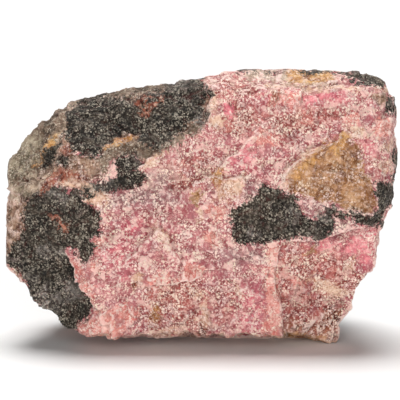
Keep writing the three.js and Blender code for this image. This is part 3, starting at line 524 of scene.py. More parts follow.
def from_side(p, side):
    """The same for any side, straight on where it isn't the front."""
    if side == "front":
        return from_front(p)
    across = {"back": -p[:, 0], "right": p[:, 1], "left": -p[:, 1]}[side]
    return np.stack([across, p[:, 2] - MIDDLE[2]], 1)


def widest_depth(place):
    """Depth of the stone's widest line, a sum of waves round the middle."""
    turn = np.arctan2(place[:, 1], place[:, 0])
    depth = WIDEST_DEPTH
    for height, number, start in WIDEST_WAVES:
        depth = depth + height * np.sin(number * turn + start)
    return depth


def towards(p, side):
    """How far points lie towards a side."""
    if side == "front":
        return widest_depth(from_front(p)) - p[:, 1]
    out = {"back": p[:, 1], "right": p[:, 0], "left": -p[:, 0]}[side]
    return out - SIDE_STARTS[side]


def from_line(place, line):
    """Distance of places to the nearest piece of a line, and how far they lie to its left."""
    nearest = np.full(len(place), np.inf)
    left = np.zeros(len(place))
    for (ax, ay), (bx, by) in zip(line[:-1], line[1:]):
        ex, ey = bx - ax, by - ay
        wx, wy = place[:, 0] - ax, place[:, 1] - ay
        length = np.hypot(ex, ey)
        t = np.clip((wx * ex + wy * ey) / length**2, 0, 1)
        distance = np.hypot(wx - t * ex, wy - t * ey)
        near = distance < nearest
        nearest = np.where(near, distance, nearest)
        left = np.where(near, (ex * wy - ey * wx) / length, left)
    return nearest, left


def depth_inside(place, line):
    """How deep places lie inside a closed line, less than nothing outside it."""
    nearest = np.full(len(place), np.inf)
    within = np.zeros(len(place), bool)
    x, y = place[:, 0], place[:, 1]
    for (ax, ay), (bx, by) in zip([line[-1], *line[:-1]], line):
        ex, ey = bx - ax, by - ay
        wx, wy = x - ax, y - ay
        t = np.clip((wx * ex + wy * ey) / (ex * ex + ey * ey), 0, 1)
        nearest = np.minimum(nearest, (wx - t * ex) ** 2 + (wy - t * ey) ** 2)
        if ey != 0:
            within ^= ((ay <= y) != (by <= y)) & (wx < wy * ex / ey)
    return np.where(within, 1, -1) * np.sqrt(nearest)


def smooth_max(values, crispness):
    """The larger of some values, with a rounded passage: the logarithm of a sum of powers."""
    most = np.max(values, axis=0)
    return most + np.log(np.exp(crispness * (values - most)).sum(0)) / crispness


def outside(p):
    """How far points lie outside the broken form: the most of their heights over its faces and
    their distance past its outline, less what the scars took."""
    place = from_front(p)
    behind = p[:, 1] - widest_depth(place)
    draw = np.abs(behind) * np.where(behind > 0, TAPER_BACK, TAPER_FRONT)
    distances = [over_plane(p, face) for face in FACES.values()]
    distances.append(draw - depth_inside(place, OUTLINE))
    distance = smooth_max(np.stack(distances), EDGE_CRISPNESS)
    for side, floor, steepness, edge in SCARS.values():
        reach = towards(p, side) + (FRONT_REACH if side == "front" else 0)
        wall = steepness * depth_inside(from_side(p, side), edge)
        gone = np.minimum(np.minimum(wall, over_plane(p, floor)), reach)
        distance = smooth_max(np.stack([distance, gone]), SCAR_CRISPNESS)
    return distance - FILLING


def chance(i, j, k, seed):
    """A fixed number between 0 and 1 for each cell of space, from its mixed bits."""
    with np.errstate(over="ignore"):
        h = i.astype(np.uint32) * np.uint32(374761393) + j.astype(np.uint32) * np.uint32(668265263)
        h += k.astype(np.uint32) * np.uint32(2246822519) + np.uint32(seed * 3266489917 % 2**32)
        h = (h ^ (h >> np.uint32(15))) * np.uint32(2246822519)
        h = (h ^ (h >> np.uint32(13))) * np.uint32(3266489917)
    return (h ^ (h >> np.uint32(16))) / 2.0**32


def corners(steps):
    """All triples of some steps."""
    return [(x, y, z) for x in steps for y in steps for z in steps]


def wander(p, span, seed):
    """Soft hills and dales between -1 and 1: chances at the corners of cells, smoothly mixed."""
    q = p / span
    cell = np.floor(q).astype(np.int64)
    f = smooth(q - cell)
    total = 0
    for corner in corners([0, 1]):
        weight = np.prod(np.where(corner, f, 1 - f), axis=1)
        total = total + weight * chance(*(cell + corner).T, seed)
    return 2 * total - 1


def shards(p, size, seed, tightness):
    """Small tilted faces, one to a cell of space: planes mixed by how near their middles are."""
    q = p / size
    cell = np.floor(q).astype(np.int64)
    height = np.zeros(len(p))
    total = np.zeros(len(p))
    for corner in corners([-1, 0, 1]):
        at = cell + corner
        draw = [chance(*at.T, seed + n) for n in range(7)]
        offset = q - at - np.stack(draw[:3], 1)
        tilt = 2 * np.stack(draw[3:6], 1) - 1
        weight = np.exp(-tightness * (offset**2).sum(1))
        height += weight * (SHARD_TILT * (offset * tilt).sum(1) + draw[6] - 0.5)
        total += weight
    return height / total


def flakes(p, span, seed, levels):
    """Flaked ground: the levels of soft hills as shelves, each of which rises at once and then
    falls back slowly."""
    hills = levels * sum(
        part * wander(p, scale * span, seed + n) for n, (part, scale) in enumerate(FLAKE_HILLS)
    )
    share = hills - np.floor(hills)
    return smooth(share / FLAKE_WALL) - share - FLAKE_SINK


def ledge_height(place, height, fade, line):
    """Height of a ledge: a steep drop on its line, and a long fade on its raised side."""
    distance, left = from_line(place, line)
    past_end = np.maximum(distance**2 - left**2, 0)
    raised = smooth(0.5 + left / LEDGE_WALL)
    upper = raised * np.exp(-distance / fade)
    lower = LOW_SIDE_SHARE * (1 - raised) * np.exp(-2 * distance / fade)
    return height * np.exp(-4 * past_end / fade**2) * (upper - lower)


def strayed(p, place):
    """Places moved a little, so that lines on the stone are ragged."""
    moves = [
        sum(far * wander(p, span, 51 + axis + 2 * n) for n, (far, span) in enumerate(STRAY))
        for axis in (0, 1)
    ]
    return place + np.stack(moves, 1)


def roughness(p):
    """How far the skin stands off the broken form: shards, ledges and hollows added up. Along
    the outline and near the ground it is calm."""
    place = from_front(p)
    inner = depth_inside(place, OUTLINE)
    calm = np.minimum(smooth(inner / CALM_EDGE), smooth((p[:, 2] - CALM_GROUND) / CALM_RISE))
    height = sum(h * shards(p, size, seed, tight) for size, h, seed, tight in SHARDS)
    height *= CALM_SHARE + (1 - CALM_SHARE) * calm
    height += sum(h * shards(p, size, seed, tight) for size, h, seed, tight in FINE_SHARDS)
    height += sum(h * flakes(p, span, seed, levels) for span, h, seed, levels in FLAKES)
    placed = 0
    for side, rise, fade, line in LEDGES.values():
        here = ledge_height(strayed(p, from_side(p, side)), rise, fade, line)
        if side == "front":
            placed = placed + here
        else:
            height += here * smooth(0.5 + towards(p, side) / SIDE_FADE)
    for depth, radius, middle in HOLLOWS.values():
        away = np.hypot(*(place - middle).T)
        placed = placed - depth * np.exp(-((away / radius) ** 2))
    on_front = smooth(0.5 + towards(p, "front") / FRONT_FADE)
    kept = OUTLINE_SHARE + (1 - OUTLINE_SHARE) * smooth(inner / OUTLINE_FADE)
    return height + placed * on_front * kept


def skin(place):
    """Points of the skin for places on the box from -1 to 1, and the points of the smooth form
    under them: each ray from the core is halved and then cut between its ends until it meets the
    broken form, is roughened there, and ends at the ground at the latest."""
    start = MIDDLE + CORE * place
    way = (HALF_SIZE - CORE) * place
    way /= np.linalg.norm(way, axis=1)[:, None]
    low, high = (np.full(len(place), end) for end in RAY_ENDS)
    for _ in range(HALVINGS):
        middle = (low + high) / 2
        out = outside(start + way * middle[:, None]) > 0
        low, high = np.where(out, low, middle), np.where(out, middle, high)
    at_low, at_high = (outside(start + way * far[:, None]) for far in (low, high))
    for _ in range(CUTS):
        share = np.clip(at_low / (at_low - at_high), *CUT_LIMITS)
        middle = low + share * (high - low)
        here = outside(start + way * middle[:, None])
        out = here > 0
        low, at_low = np.where(out, low, middle), np.where(out, at_low, here)
        high, at_high = np.where(out, middle, high), np.where(out, here, at_high)
    far = low - at_low * (high - low) / (at_high - at_low)
    p = start + way * far[:, None]
    rise = outside(p + SLOPE_STEP * way) - outside(p - SLOPE_STEP * way)
    far += roughness(p) / np.clip(rise / (2 * SLOPE_STEP), LEAST_SLOPE, 1)
    down = np.minimum(way[:, 2], -1e-9)  # never nought, so that it can be divided by
    far = np.minimum(far, np.where(way[:, 2] < 0, -start[:, 2] / down, np.inf))
    return start + way * far[:, None], p


# The net of the skin: cells along x and z, twice as fine on the front as behind
CELLS_X = 256
CELLS_Z = 178
FINE_ROWS = 10  # rows of fine cells on the sides, behind the front
COARSE_ROWS = 68
SLIDE = 0.28  # points slide along the net by up to this share of a cell, so that it doesn't show
ON_FACE = 0.995  # a coordinate past this lies on a face of the box and stays there
PRESS = 0.6  # over this distance the skin is pressed in where it would leave the solid's box
RELIEF_ROUNDS = 12  # rounds of evening out from which the relief and the edges stand out
EDGE_ROUNDS = 2

# Where the placed colours give way to those spread by chance, in mm
DEEPEST = 4.0  # depths inside the colour patches are kept up to this
FOOT_DEPTH = -8  # what is ahead of this depth counts as front, also down at the foot
HANDOVER = 4  # the passage behind the widest line, which starts half of it back
HANDOVER_START = 1.5
HANDOVER_STRAY = (9, 10, 69)  # how much longer it gets: most, span and seed
LEFT_START = -12
LEFT_FADE = 22
SHOULDER_START = 22
SHOULDER_FADE = 16
LOW_START = 26
LOW_FADE = 20
SMALL_RISE = 2.2  # height of the small hills on the larger ones
SMALL_SPAN = 0.36  # their share of the span
HILLS_SEED = 71

# How each colour spreads over the other sides: span and height of its hills, how far they are
# lifted, and how much more on the left shoulder and low down
SPREAD = {
    "dull": (20, 4, -0.8, 0, 0),
    "bright": (18, 4, -1.4, 0, 0),
    "mauve": (14, 4, -2.4, 0, 0),
    "salmon": (13, 4, -2.4, 0, 0),
    "rose": (10, 4, -3.4, 0, 0),
    "honey": (24, 5, -3.2, 0, 0),
    "gold": (11, 4, -3.6, 0, 0),
    "tan": (21, 4, -2, 2, 1.5),
    "bone": (13, 4, -3.2, 1, 0),
    "cream": (9, 4, -3.2, 0, 0),
    "skin": (23, 5, -1.8, 4.5, 0),
    "moss": (15, 4, -3, 3, 0),
    "oxide": (19, 5, -1.1, 0, 1),
    "frost": (10, 4, -3.4, 0, 0),
    "rust": (14, 3.5, -3, 1, 0),
}


def rim(grid):
    """The edge of a grid of numbers, once round, anticlockwise as it is seen from its front."""
    return np.concatenate([grid[:-1, 0], grid[-1, :-1], grid[:0:-1, -1], grid[0, :0:-1]])


def squares(grid):
    """The squares of a grid of point numbers, each anticlockwise as it is seen from its front."""
    return np.stack([grid[:-1, :-1], grid[1:, :-1], grid[1:, 1:], grid[:-1, 1:]], -1).reshape(-1, 4)


def belt(rings):
    """The squares between rings of point numbers, which follow each other to the back."""
    front, back = rings[:-1], rings[1:]
    return np.stack(
        [front, back, np.roll(back, -1, 1), np.roll(front, -1, 1)], -1
    ).reshape(-1, 4)


def split(quads, p):
    """Squares as pairs of triangles, each square cut along its shorter diagonal."""
    a, b, c, d = quads.T
    along_ac = np.linalg.norm(p[a] - p[c], axis=1) < np.linalg.norm(p[b] - p[d], axis=1)
    first = np.where(along_ac[:, None], np.stack([a, b, c], 1), np.stack([b, c, d], 1))
    second = np.where(along_ac[:, None], np.stack([a, c, d], 1), np.stack([b, d, a], 1))
    return np.concatenate([first, second])


def net():
    """The points on the box from -1 to 1, its squares, and the triangles between the last fine
    ring and the first coarse one, which has every second of its points."""
    x, z = np.meshgrid(
        np.linspace(-1, 1, CELLS_X + 1), np.linspace(-1, 1, CELLS_Z + 1), indexing="ij"
    )
    front = np.stack([x, np.full_like(x, -1.0), z], -1)
    back = front[::2, ::2] * (1, -1, 1)
    fine_step = HALF_SIZE[0] / HALF_SIZE[1] * 2 / CELLS_X
    fine_y = -1 + fine_step * np.arange(1, FINE_ROWS + 1)
    coarse_y = np.linspace(fine_y[-1], 1, COARSE_ROWS + 1)[1:-1]
    numbers = np.arange(front[..., 0].size).reshape(x.shape)
    fine_rim = front.reshape(-1, 3)[rim(numbers)]
    points = [front.reshape(-1, 3)]
    count = numbers.size
    rings = {}
    for name, loop, depths in [("fine", fine_rim, fine_y), ("coarse", fine_rim[::2], coarse_y)]:
        tube = np.repeat(loop[None], len(depths), 0)
        tube[..., 1] = depths[:, None]
        rings[name] = count + np.arange(tube[..., 0].size).reshape(tube.shape[:2])
        count += rings[name].size
        points.append(tube.reshape(-1, 3))
    back_numbers = count + np.arange(back[..., 0].size).reshape(back.shape[:2])
    points.append(back.reshape(-1, 3))
    fine = np.concatenate([rim(numbers)[None], rings["fine"]])
    coarse = np.concatenate([rings["coarse"], rim(back_numbers)[None]])
    quads = np.concatenate(
        [squares(numbers), belt(fine), belt(coarse), squares(back_numbers)[:, ::-1]]
    )
    near, between, far = fine[-1, ::2], fine[-1, 1::2], coarse[0]
    next_near, next_far = np.roll(near, -1), np.roll(far, -1)
    bridges = np.concatenate([
        np.stack([near, far, between], 1),
        np.stack([far, next_far, between], 1),
        np.stack([next_far, next_near, between], 1),
    ])
    return np.concatenate(points), quads, bridges


def slid(place):
    """Places moved a little along the box, never over its edges."""
    number = np.arange(len(place))
    moves = np.stack([chance(number, number * 0, number * 0, 91 + n) for n in range(3)], 1)
    step = 2 / np.array([CELLS_X, CELLS_X * HALF_SIZE[1] / HALF_SIZE[0], CELLS_Z])
    moved = place + SLIDE * step * (2 * moves - 1)
    return np.where(np.abs(place) > ON_FACE, place, moved)


def pressed(p, box):
    """Points kept inside the solid's box: near a side they come in, the more the further out."""
    low, high = (np.array(corner) * 1000 for corner in box)

    def eased(far):
        return np.where(far > -PRESS, -PRESS * np.exp(-(far + PRESS) / PRESS), far)

    p = high + eased(p - high)
    lower = low - eased(low - p)
    return np.stack([lower[:, 0], lower[:, 1], p[:, 2]], 1)


def point_normals(p, triangles):
    """Outward directions at the points: the sum of the cross products of the triangles there."""
    a, b, c = (p[triangles[:, n]] for n in range(3))
    across = np.cross(b - a, c - a)
    total = np.stack([
        np.bincount(triangles.ravel(), np.repeat(across[:, axis], 3), len(p)) for axis in range(3)
    ], 1)
    return total / np.linalg.norm(total, axis=1)[:, None]


def neighbour_mean(values, pairs, count):
    """The mean of values at the points joined to each point."""
    ends = np.concatenate([pairs, pairs[:, ::-1]])
    share = np.bincount(ends[:, 0], minlength=count)
    sums = [np.bincount(ends[:, 0], column[ends[:, 1]], count) for column in values.T]
    return (np.array(sums) / share).T


def standing_out(p, triangles, normals, rounds):
    """How far the skin stands out at each point, over the skin evened out by some rounds of
    taking the mean of neighbours."""
    pairs = np.concatenate([triangles[:, [0, 1]], triangles[:, [1, 2]], triangles[:, [2, 0]]])
    pairs = pairs[pairs[:, 0] < pairs[:, 1]]
    even = p
    for _ in range(rounds):
        even = (even + neighbour_mean(even, pairs, len(p))) / 2
    return ((p - even) * normals).sum(1)


def patch_depths(p):
    """How deep points lie inside the patches of each colour: as placed on the front, and by soft
    hills and dales behind it."""
    place = strayed(p, from_front(p))
    fore = np.maximum(towards(p, "front"), FOOT_DEPTH - p[:, 1])
    longer, span, seed = HANDOVER_STRAY
    reach = HANDOVER + longer * np.maximum(wander(p, span, seed), 0)
    ahead = smooth(HANDOVER_START + fore / reach)
    left = smooth((LEFT_START - p[:, 0]) / LEFT_FADE)
    left = left * smooth((p[:, 2] - SHOULDER_START) / SHOULDER_FADE)
    low = smooth((LOW_START - p[:, 2]) / LOW_FADE)
    depths = {}
    for n, (name, outlines) in enumerate(PATCHES.items()):
        placed = np.max([depth_inside(place, line) for line in outlines], axis=0)
        placed = np.clip(placed, -DEEPEST, DEEPEST)
        span, rise, lift, more_left, more_low = SPREAD[name]
        seed = HILLS_SEED + 2 * n
        hills = rise * wander(p, span, seed) + SMALL_RISE * wander(p, SMALL_SPAN * span, seed + 1)
        behind = hills + lift + more_left * left + more_low * low
        behind = np.clip(behind, -DEEPEST, DEEPEST)
        depths[name] = ahead * placed + (1 - ahead) * behind
    return depths


def mesh_of(name, p, triangles, values):
    """A mesh from points in mm, triangles, and named numbers at the points."""
    mesh = bpy.data.meshes.new(name)
    mesh.vertices.add(len(p))
    mesh.vertices.foreach_set("co", (p / 1000).astype(np.float32).ravel())
    mesh.loops.add(triangles.size)
    mesh.loops.foreach_set("vertex_index", triangles.astype(np.int32).ravel())
    mesh.polygons.add(len(triangles))
    mesh.polygons.foreach_set("loop_start", np.arange(0, triangles.size, 3, dtype=np.int32))
    mesh.update(calc_edges=True)
    for key, numbers in values.items():
        attribute = mesh.attributes.new(key, "FLOAT", "POINT")
        attribute.data.foreach_set("value", numbers.astype(np.float32))
    return mesh


class Tone:
    """A value or colour in a shader. Sums, products and the like of values add Math nodes."""

    def __init__(self, tree, socket=None):
        self.tree = tree
        self.socket = socket

    def node(self, kind, settings=None, inputs=None, out=0):
        """Adds a node: its settings first, then the values or links of its sockets."""
        made = self.tree.nodes.new("ShaderNode" + kind)
        for key, value in (settings or {}).items():
            setattr(made, key, value)
        for key, value in (inputs or {}).items():
            if isinstance(value, Tone):
                self.tree.links.new(value.socket, made.inputs[key])
            else:
                made.inputs[key].default_value = value
        return Tone(self.tree, made.outputs[out] if made.outputs else None)

    def also(self, out):
        """Another output of the same node."""
        return Tone(self.tree, self.socket.node.outputs[out])

    def maths(self, operation, first, second):
        return self.node("Math", {"operation": operation}, {0: first, 1: second})

    def __add__(self, other):
        return self.maths("ADD", self, other)

    __radd__ = __add__

    def __sub__(self, other):
        return self.maths("SUBTRACT", self, other)

    def __rsub__(self, other):
        return self.maths("SUBTRACT", other, self)

    def __mul__(self, other):
        return self.maths("MULTIPLY", self, other)

    __rmul__ = __mul__

    def most(self, other):
        return self.maths("MAXIMUM", self, other)

    def between(self, low, high):
        """0 below low, 1 above high, and an even passage between them."""
        limits = {"Value": self, "From Min": low, "From Max": high}
        return self.node("MapRange", {"interpolation_type": "SMOOTHSTEP"}, limits)

    def mix(self, first, second):
        """A colour that passes from the first to the second by this share."""
        return self.node("Mix", {"data_type": "RGBA"}, {0: self, 6: first, 7: second}, out=2)


def tint(red, green, blue):
    """A colour from its screen values of 0 to 255, as light."""
    values = np.array([red, green, blue]) / 255
    light = np.where(values <= 0.04045, values / 12.92, ((values + 0.055) / 1.055) ** 2.4)
    return (*light.tolist(), 1.0)


# The minerals' grains: a dark, a middle and a pale tone, each mineral over those before it
GRAINS = {
    "pink": [(166, 88, 92), (204, 128, 130), (248, 190, 184)],
    "dull": [(140, 66, 62), (184, 100, 92), (234, 162, 146)],
    "bright": [(192, 88, 102), (226, 128, 136), (252, 190, 190)],
    "mauve": [(142, 100, 100), (180, 138, 136), (230, 196, 190)],
    "salmon": [(212, 124, 114), (236, 160, 148), (252, 210, 200)],
    "rose": [(208, 104, 118), (238, 144, 150), (253, 190, 190)],
    "honey": [(132, 84, 44), (188, 139, 96), (230, 184, 138)],
    "tan": [(96, 70, 52), (164, 132, 108), (214, 180, 154)],
    "skin": [(72, 58, 46), (126, 106, 88), (180, 158, 136)],
    "moss": [(98, 88, 70), (158, 145, 122), (212, 200, 176)],
    "gold": [(160, 104, 50), (212, 158, 94), (242, 206, 146)],
    "bone": [(130, 108, 90), (190, 168, 146), (234, 216, 198)],
    "cream": [(204, 156, 128), (234, 196, 168), (252, 232, 212)],
    "oxide": [(22, 19, 15), (46, 40, 33), (92, 80, 67)],
    "frost": [(62, 56, 52), (116, 110, 104), (208, 202, 196)],
    "rust": [(96, 46, 34), (160, 92, 70), (214, 148, 116)],
}
SOFT = {  # mm over which a patch passes into what lies under it
    "dull": 2.2, "bright": 2.2, "mauve": 1.8, "salmon": 0.5, "rose": 0.5, "gold": 0.7, "tan": 0.8,
    "bone": 1, "cream": 0.6, "skin": 0.7, "moss": 1.6, "frost": 1.4, "rust": 0.6, "oxide": 0.4
}
SOFT_USUAL = 0.2
FADED = {  # share of the grains' contrast lost in a patch
    "honey": 0.5, "gold": 0.4, "salmon": 0.2, "rose": 0.6, "skin": 0.2, "moss": 0.2, "bone": 0.2
}
TINTS = {  # tints laid over the grains, and how strongly
    "deep": (0.5, (166, 90, 98)),
    "pale": (0.75, (255, 214, 203)),
    # crests, partly their own pale bruised colour and partly painted highlight
    "crest_pale_and_lit": (0.3, (252, 208, 196)),
    # painted shade, darkening the hollows of the skin
    "hollow_shade": (0.35, (96, 44, 42)),
    # the sharpest ridges, partly pale in their own colour and partly painted highlight
    "edge": (0.7, (255, 228, 218)),
    "dust": (0.48, (224, 212, 192)),
}
INK = (204, 158, 156)  # the colours are multiplied by this in the darker grains and threads
SPECKS = [(255, 228, 220), (255, 232, 210)]  # the pale specks lie between these

# The finish's chance patterns: how fine their bends are and how far they reach, the size of the
# cells, the span and detail of the clouds, the span and width of the threads, in mm, and with
# each a shift that makes it a pattern of its own
LITTLE_BEND = (1.6, 0.5)
MUCH_BEND = (0.8, 1.8)
GRAIN_CELLS = (0.74, 0)
FINE_CELLS = (0.44, 7)
SAND_CELLS = (0.3, 13)
FLAKE_CELLS = (2.6, 31)
CHIP_CELLS = (1.2, 57)
BLOTCH_CLOUDS = (6, 3, 0)
PATCHY_CLOUDS = (1.3, 3, 40)
CROWD_CLOUDS = (3.2, 2, 60)
PALE_THREADS = (1.2, 0.045, 23)
DARK_THREADS = (0.9, 0.05, 11)
THREAD_DETAIL = 2
BEND_DETAIL = 3
BUMP_HEIGHT = 0.00035  # metres
BUMP_STRENGTH = 0.7
STONE_IOR = 1.3


class Patterns:
    """Chance patterns in a shader, from the places on the piece in mm."""

    def __init__(self, sheet):
        self.sheet = sheet
        place = sheet.node("TexCoord", out="Object")
        self.place = sheet.node("VectorMath", {"operation": "SCALE"}, {0: place, "Scale": 1000})

    def shifted(self, places, shift):
        """Places moved by the same step along each axis."""
        return self.sheet.node("VectorMath", {"operation": "ADD"}, {0: places, 1: (shift,) * 3})

    def bent(self, fineness, reach):
        """The places moved along each axis by a soft chance of up to a reach."""
        noise = {"Vector": self.place, "Scale": fineness, "Detail": BEND_DETAIL}
        bend = self.sheet.node("TexNoise", inputs=noise, out="Color")
        bend = self.sheet.node("VectorMath", {"operation": "SCALE"}, {0: bend, "Scale": reach})
        return self.sheet.node("VectorMath", {"operation": "ADD"}, {0: self.place, 1: bend})

    def cells(self, places, size, shift):
        """Two chance numbers for each cell, and how far a point is from the cell's middle."""
        spots = {"Vector": self.shifted(places, shift), "Scale": 1 / size}
        far = self.sheet.node("TexVoronoi", inputs=spots, out="Distance")
        first = self.sheet.node("SeparateColor", inputs={0: far.also("Color")})
        return first, first.also(1), far

    def clouds(self, span, detail, shift):
        """Soft clouds between 0 and 1."""
        noise = {"Vector": self.shifted(self.place, shift), "Scale": 1 / span, "Detail": detail}
        return self.sheet.node("TexNoise", inputs=noise, out="Fac")

    def threads(self, span, width, shift):
        """Winding lines, where soft clouds pass through their middle value."""
        off = self.clouds(span, THREAD_DETAIL, shift) - 0.5
        off = self.sheet.node("Math", {"operation": "ABSOLUTE"}, {0: off})
        return 1 - off.between(width / 2, width)


def stone_finish(name):
    """The stone's finish: flakes and clouds of chance tones in each patch's own colours, broken up
    by lighter and darker grains and threads, pale and with painted highlight on crests, and with
    painted shade in hollows."""
    material = bpy.data.materials.new(name)
    material.use_nodes = True
    tree = material.node_tree
    tree.nodes.clear()
    sheet = Tone(tree)
    depth = {
        key: sheet.node("Attribute", {"attribute_name": key}, out="Fac")
        for key in [*PATCHES, "relief", "edge"]
    }
    patterns = Patterns(sheet)
    little, much = patterns.bent(*LITTLE_BEND), patterns.bent(*MUCH_BEND)
    grain, other, far = patterns.cells(little, *GRAIN_CELLS)
    fine, fine_other, fine_far = patterns.cells(little, *FINE_CELLS)
    sand, sand_other, _ = patterns.cells(patterns.place, *SAND_CELLS)
    flake, flake_other, _ = patterns.cells(much, *FLAKE_CELLS)
    chip, chip_other, _ = patterns.cells(much, *CHIP_CELLS)
    blotch = patterns.clouds(*BLOTCH_CLOUDS)
    patchy = patterns.clouds(*PATCHY_CLOUDS)

    def share_of(key):
        """How much of a patch's own colours a point has, with a ragged passage at its edge."""
        soft = SOFT.get(key, SOFT_USUAL)
        stray = 0.8 * other + 1.0 * fine_other + 1.2 * patchy - 1.5
        return (depth[key] + stray).between(-soft, soft)

    shares = {key: share_of(key) for key in PATCHES}
    black = shares["oxide"]
    aged = black.most(shares["skin"]).most(shares["moss"])
    rosy = 1 - aged.most(shares["tan"]).most(shares["honey"]).most(shares["rose"])
    rosy = rosy * (1 - shares["gold"].most(shares["rust"]))
    rosy = rosy * (1 - 0.4 * shares["dull"])
    strength = 1
    for key, faded in FADED.items():
        strength = (1 - faded * shares[key]) * strength
    grit = 0.4 * grain + 0.35 * fine + 0.3 * sand - 0.52
    pale = flake_other.between(0.86, 0.88) * chip.between(0.3, 0.36)
    pale = (pale + chip_other.between(0.86, 0.88) * patchy.between(0.44, 0.5)).between(0, 1) * rosy
    deep = (1 - flake_other.between(0.14, 0.17)) * chip_other.between(0.1, 0.14)
    deep = deep * (1 - chip.between(0.8, 0.84)) * rosy
    crowd = 0.4 + 0.9 * patterns.clouds(*CROWD_CLOUDS).between(0.36, 0.62)
    strength = strength * (1 - 0.5 * pale) * (1 - 0.6 * deep)
    facets = 0.26 * flake.between(0.3, 0.7) + 0.24 * chip.between(0.3, 0.7)
    tone = facets + 0.45 * blotch + 0.4 * patchy - 0.3
    tone = tone + 0.7 * grit * strength * crowd

    def grains(dark, middle, light):
        """The colour of a mineral's grains by their tone."""
        lower = tone.between(0.1, 0.5).mix(tint(*dark), tint(*middle))
        return tone.between(0.5, 0.95).mix(lower, tint(*light))

    def laid(key, share, under):
        """A colour with one of the tints over it."""
        strongly, shade = TINTS[key]
        return (strongly * share).mix(under, tint(*shade))

    colour = grains(*GRAINS["pink"])
    for key, tones in list(GRAINS.items())[1:]:
        colour = shares[key].mix(colour, grains(*tones))
    colour = laid("deep", deep, colour)
    colour = laid("pale", pale, colour)
    # Crests where the skin stands out over its evened-out form: paler in colour and with painted
    # highlight, less on the aged, honey, gold and tan parts.
    crest_pale_and_lit = (depth["relief"] + 0.25 * patchy + 0.2 * blotch).between(0.3, 0.52)
    quiet = aged.most(0.7 * shares["honey"].most(shares["gold"]).most(shares["tan"]))
    crest_pale_and_lit = crest_pale_and_lit * (1 - 0.9 * quiet)
    colour = laid("crest_pale_and_lit", crest_pale_and_lit, colour)
    # Painted shade: the colour is darkened where the skin lies below its evened-out form.
    hollow_shade = (0.0 - depth["relief"]).between(0.03, 0.3)
    colour = laid("hollow_shade", hollow_shade, colour)
    crumbs = (grain + 0.5 * patchy).between(0.86, 0.92) * (1 - far.between(0.36, 0.5))
    sparks = (fine + 0.5 * patchy).between(0.88, 0.94) * (1 - fine_far.between(0.36, 0.52))
    sands = 0.5 * sand_other.between(0.86, 0.9) + 0.35 * patterns.threads(*PALE_THREADS)
    bright = (0.95 * crumbs + 0.85 * sparks + sands) * crowd
    dark = 0.3 * (1 - fine_other.between(0.3, 0.4)) + 0.45 * patterns.threads(*DARK_THREADS)
    shaded = {"data_type": "RGBA", "blend_type": "MULTIPLY"}
    share = dark * crowd * strength
    colour = sheet.node("Mix", shaded, {0: share, 6: colour, 7: tint(*INK)}, out=2)
    # The sharpest ridges: pale in colour and with painted highlight, less on the aged, honey, gold
    # and tan parts.
    edge = (depth["edge"] + 0.03 * patchy).between(0.085, 0.14)
    edge = edge * (1 - 0.9 * quiet)
    colour = laid("edge", edge, colour)
    speck = flake_other.mix(*(tint(*shade) for shade in SPECKS))
    colour = (bright * (1 - aged.most(0.6 * shares["tan"])) * strength).mix(colour, speck)
    dust = 0.42 * sand_other.between(0.66, 1.02) + 0.75 * sparks + 0.5 * crumbs
    colour = laid("dust", dust * crowd * aged, colour)
    glint = fine_other.between(0.88, 0.96)
    rough = 0.6 - 0.32 * glint + 0.1 * black - 0.12 * shares["honey"]
    height = 0.3 * other + 0.3 * fine_other + 0.6 * patchy + 0.4 * flake + 0.4 * chip
    height = height + 0.5 * bright - 0.3 * far + 0.4 * pale
    bumps = {"Strength": BUMP_STRENGTH, "Distance": BUMP_HEIGHT, "Height": height}
    bump = sheet.node("Bump", inputs=bumps)
    looks = {"Base Color": colour, "Roughness": rough, "Normal": bump, "IOR": STONE_IOR}
    shader = sheet.node("BsdfPrincipled", inputs=looks)
    sheet.node("OutputMaterial", inputs={"Surface": shader})
    return material


def stone():
    """The stone: its skin on the net, with the depths of its patches at its points."""
    place, quads, bridges = net()
    p, form = skin(slid(place))
    triangles = np.concatenate([split(quads, p), bridges])
    normals = point_normals(p, triangles)
    values = patch_depths(form)
    values["relief"] = standing_out(p, triangles, normals, RELIEF_ROUNDS)
    values["edge"] = standing_out(p, triangles, normals, EDGE_ROUNDS)
    p = pressed(p - CENTRE, solid_box)
    mesh = mesh_of("rhodonite_stone", p, triangles, values)
    piece = bpy.data.objects.new("rhodonite_stone", mesh)
    piece.data.materials.append(stone_finish("rhodonite_grains"))
    piece.data.polygons.foreach_set("use_smooth", np.ones(len(triangles), bool))
    bpy.context.scene.collection.objects.link(piece)
    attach(piece, "root")
    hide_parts("rhodonite")


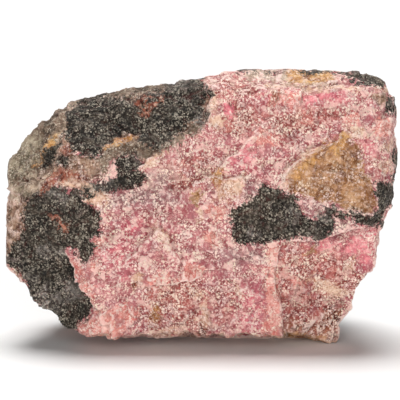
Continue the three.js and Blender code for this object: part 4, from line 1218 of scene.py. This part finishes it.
# The floor, the lights and the camera
FLOOR_HALF = 6.0  # metres
FLOOR_TINT = (240, 239, 238)
FLOOR_ROUGHNESS = 0.7
WORLD_LIGHT = 0.08
SUNS = {  # strength, spread in degrees, and the place from which they shine, in metres
    "overhead": (3.35, 32, (-0.06, 0.24, 1.3)),
    "front": (2.85, 60, (0.05, -1.3, 0.13)),
}
VIEW_SCALE = 4.0  # picture points per mm at the middle of the stone
PICTURE = 400  # picture points across
SENSOR = 36.0
CLIP = (0.05, 20)  # the camera sees from here to there, in metres


def floor_finish():
    """A plain pale floor."""
    material = bpy.data.materials.new("pale_floor")
    material.use_nodes = True
    shader = material.node_tree.nodes["Principled BSDF"]
    shader.inputs["Base Color"].default_value = tint(*FLOOR_TINT)
    shader.inputs["Roughness"].default_value = FLOOR_ROUGHNESS
    return material


def floor():
    """A flat square under the stone."""
    mesh = bpy.data.meshes.new("floor")
    h = FLOOR_HALF
    mesh.from_pydata([(-h, -h, 0), (h, -h, 0), (h, h, 0), (-h, h, 0)], [], [(0, 1, 2, 3)])
    mesh.materials.append(floor_finish())
    made = bpy.data.objects.new("floor", mesh)
    bpy.context.scene.collection.objects.link(made)


def aimed(thing, place, target):
    """Puts a light or camera at a place, looking at a target, both in metres."""
    made = bpy.data.objects.new(thing.name, thing)
    made.location = place
    made.rotation_euler = (Vector(target) - Vector(place)).to_track_quat("-Z", "Y").to_euler()
    bpy.context.scene.collection.objects.link(made)
    return made


def studio():
    """A faint light all round, and soft suns from above and from the front."""
    world = bpy.data.worlds.new("studio")
    world.use_nodes = True
    background = world.node_tree.nodes["Background"]
    background.inputs["Color"].default_value = (1, 1, 1, 1)
    background.inputs["Strength"].default_value = WORLD_LIGHT
    bpy.context.scene.world = world
    for name, (strength, spread, place) in SUNS.items():
        sun = bpy.data.lights.new(name, "SUN")
        sun.energy = strength
        sun.angle = np.radians(spread)
        aimed(sun, place, (0, 0, 0))


def camera():
    """The camera in front of the stone, a little above it."""
    lens = bpy.data.cameras.new("camera")
    lens.sensor_width = SENSOR
    lens.lens = VIEW_SCALE * VIEW_DISTANCE / PICTURE * SENSOR
    lens.clip_start, lens.clip_end = CLIP
    target = (MIDDLE - CENTRE) / 1000
    back = np.array([0, -np.cos(VIEW_DROP), np.sin(VIEW_DROP)]) * VIEW_DISTANCE / 1000
    bpy.context.scene.camera = aimed(lens, (target + back).tolist(), target.tolist())


stone()
floor()
studio()
camera()
bpy.context.scene.view_settings.view_transform = "Standard"
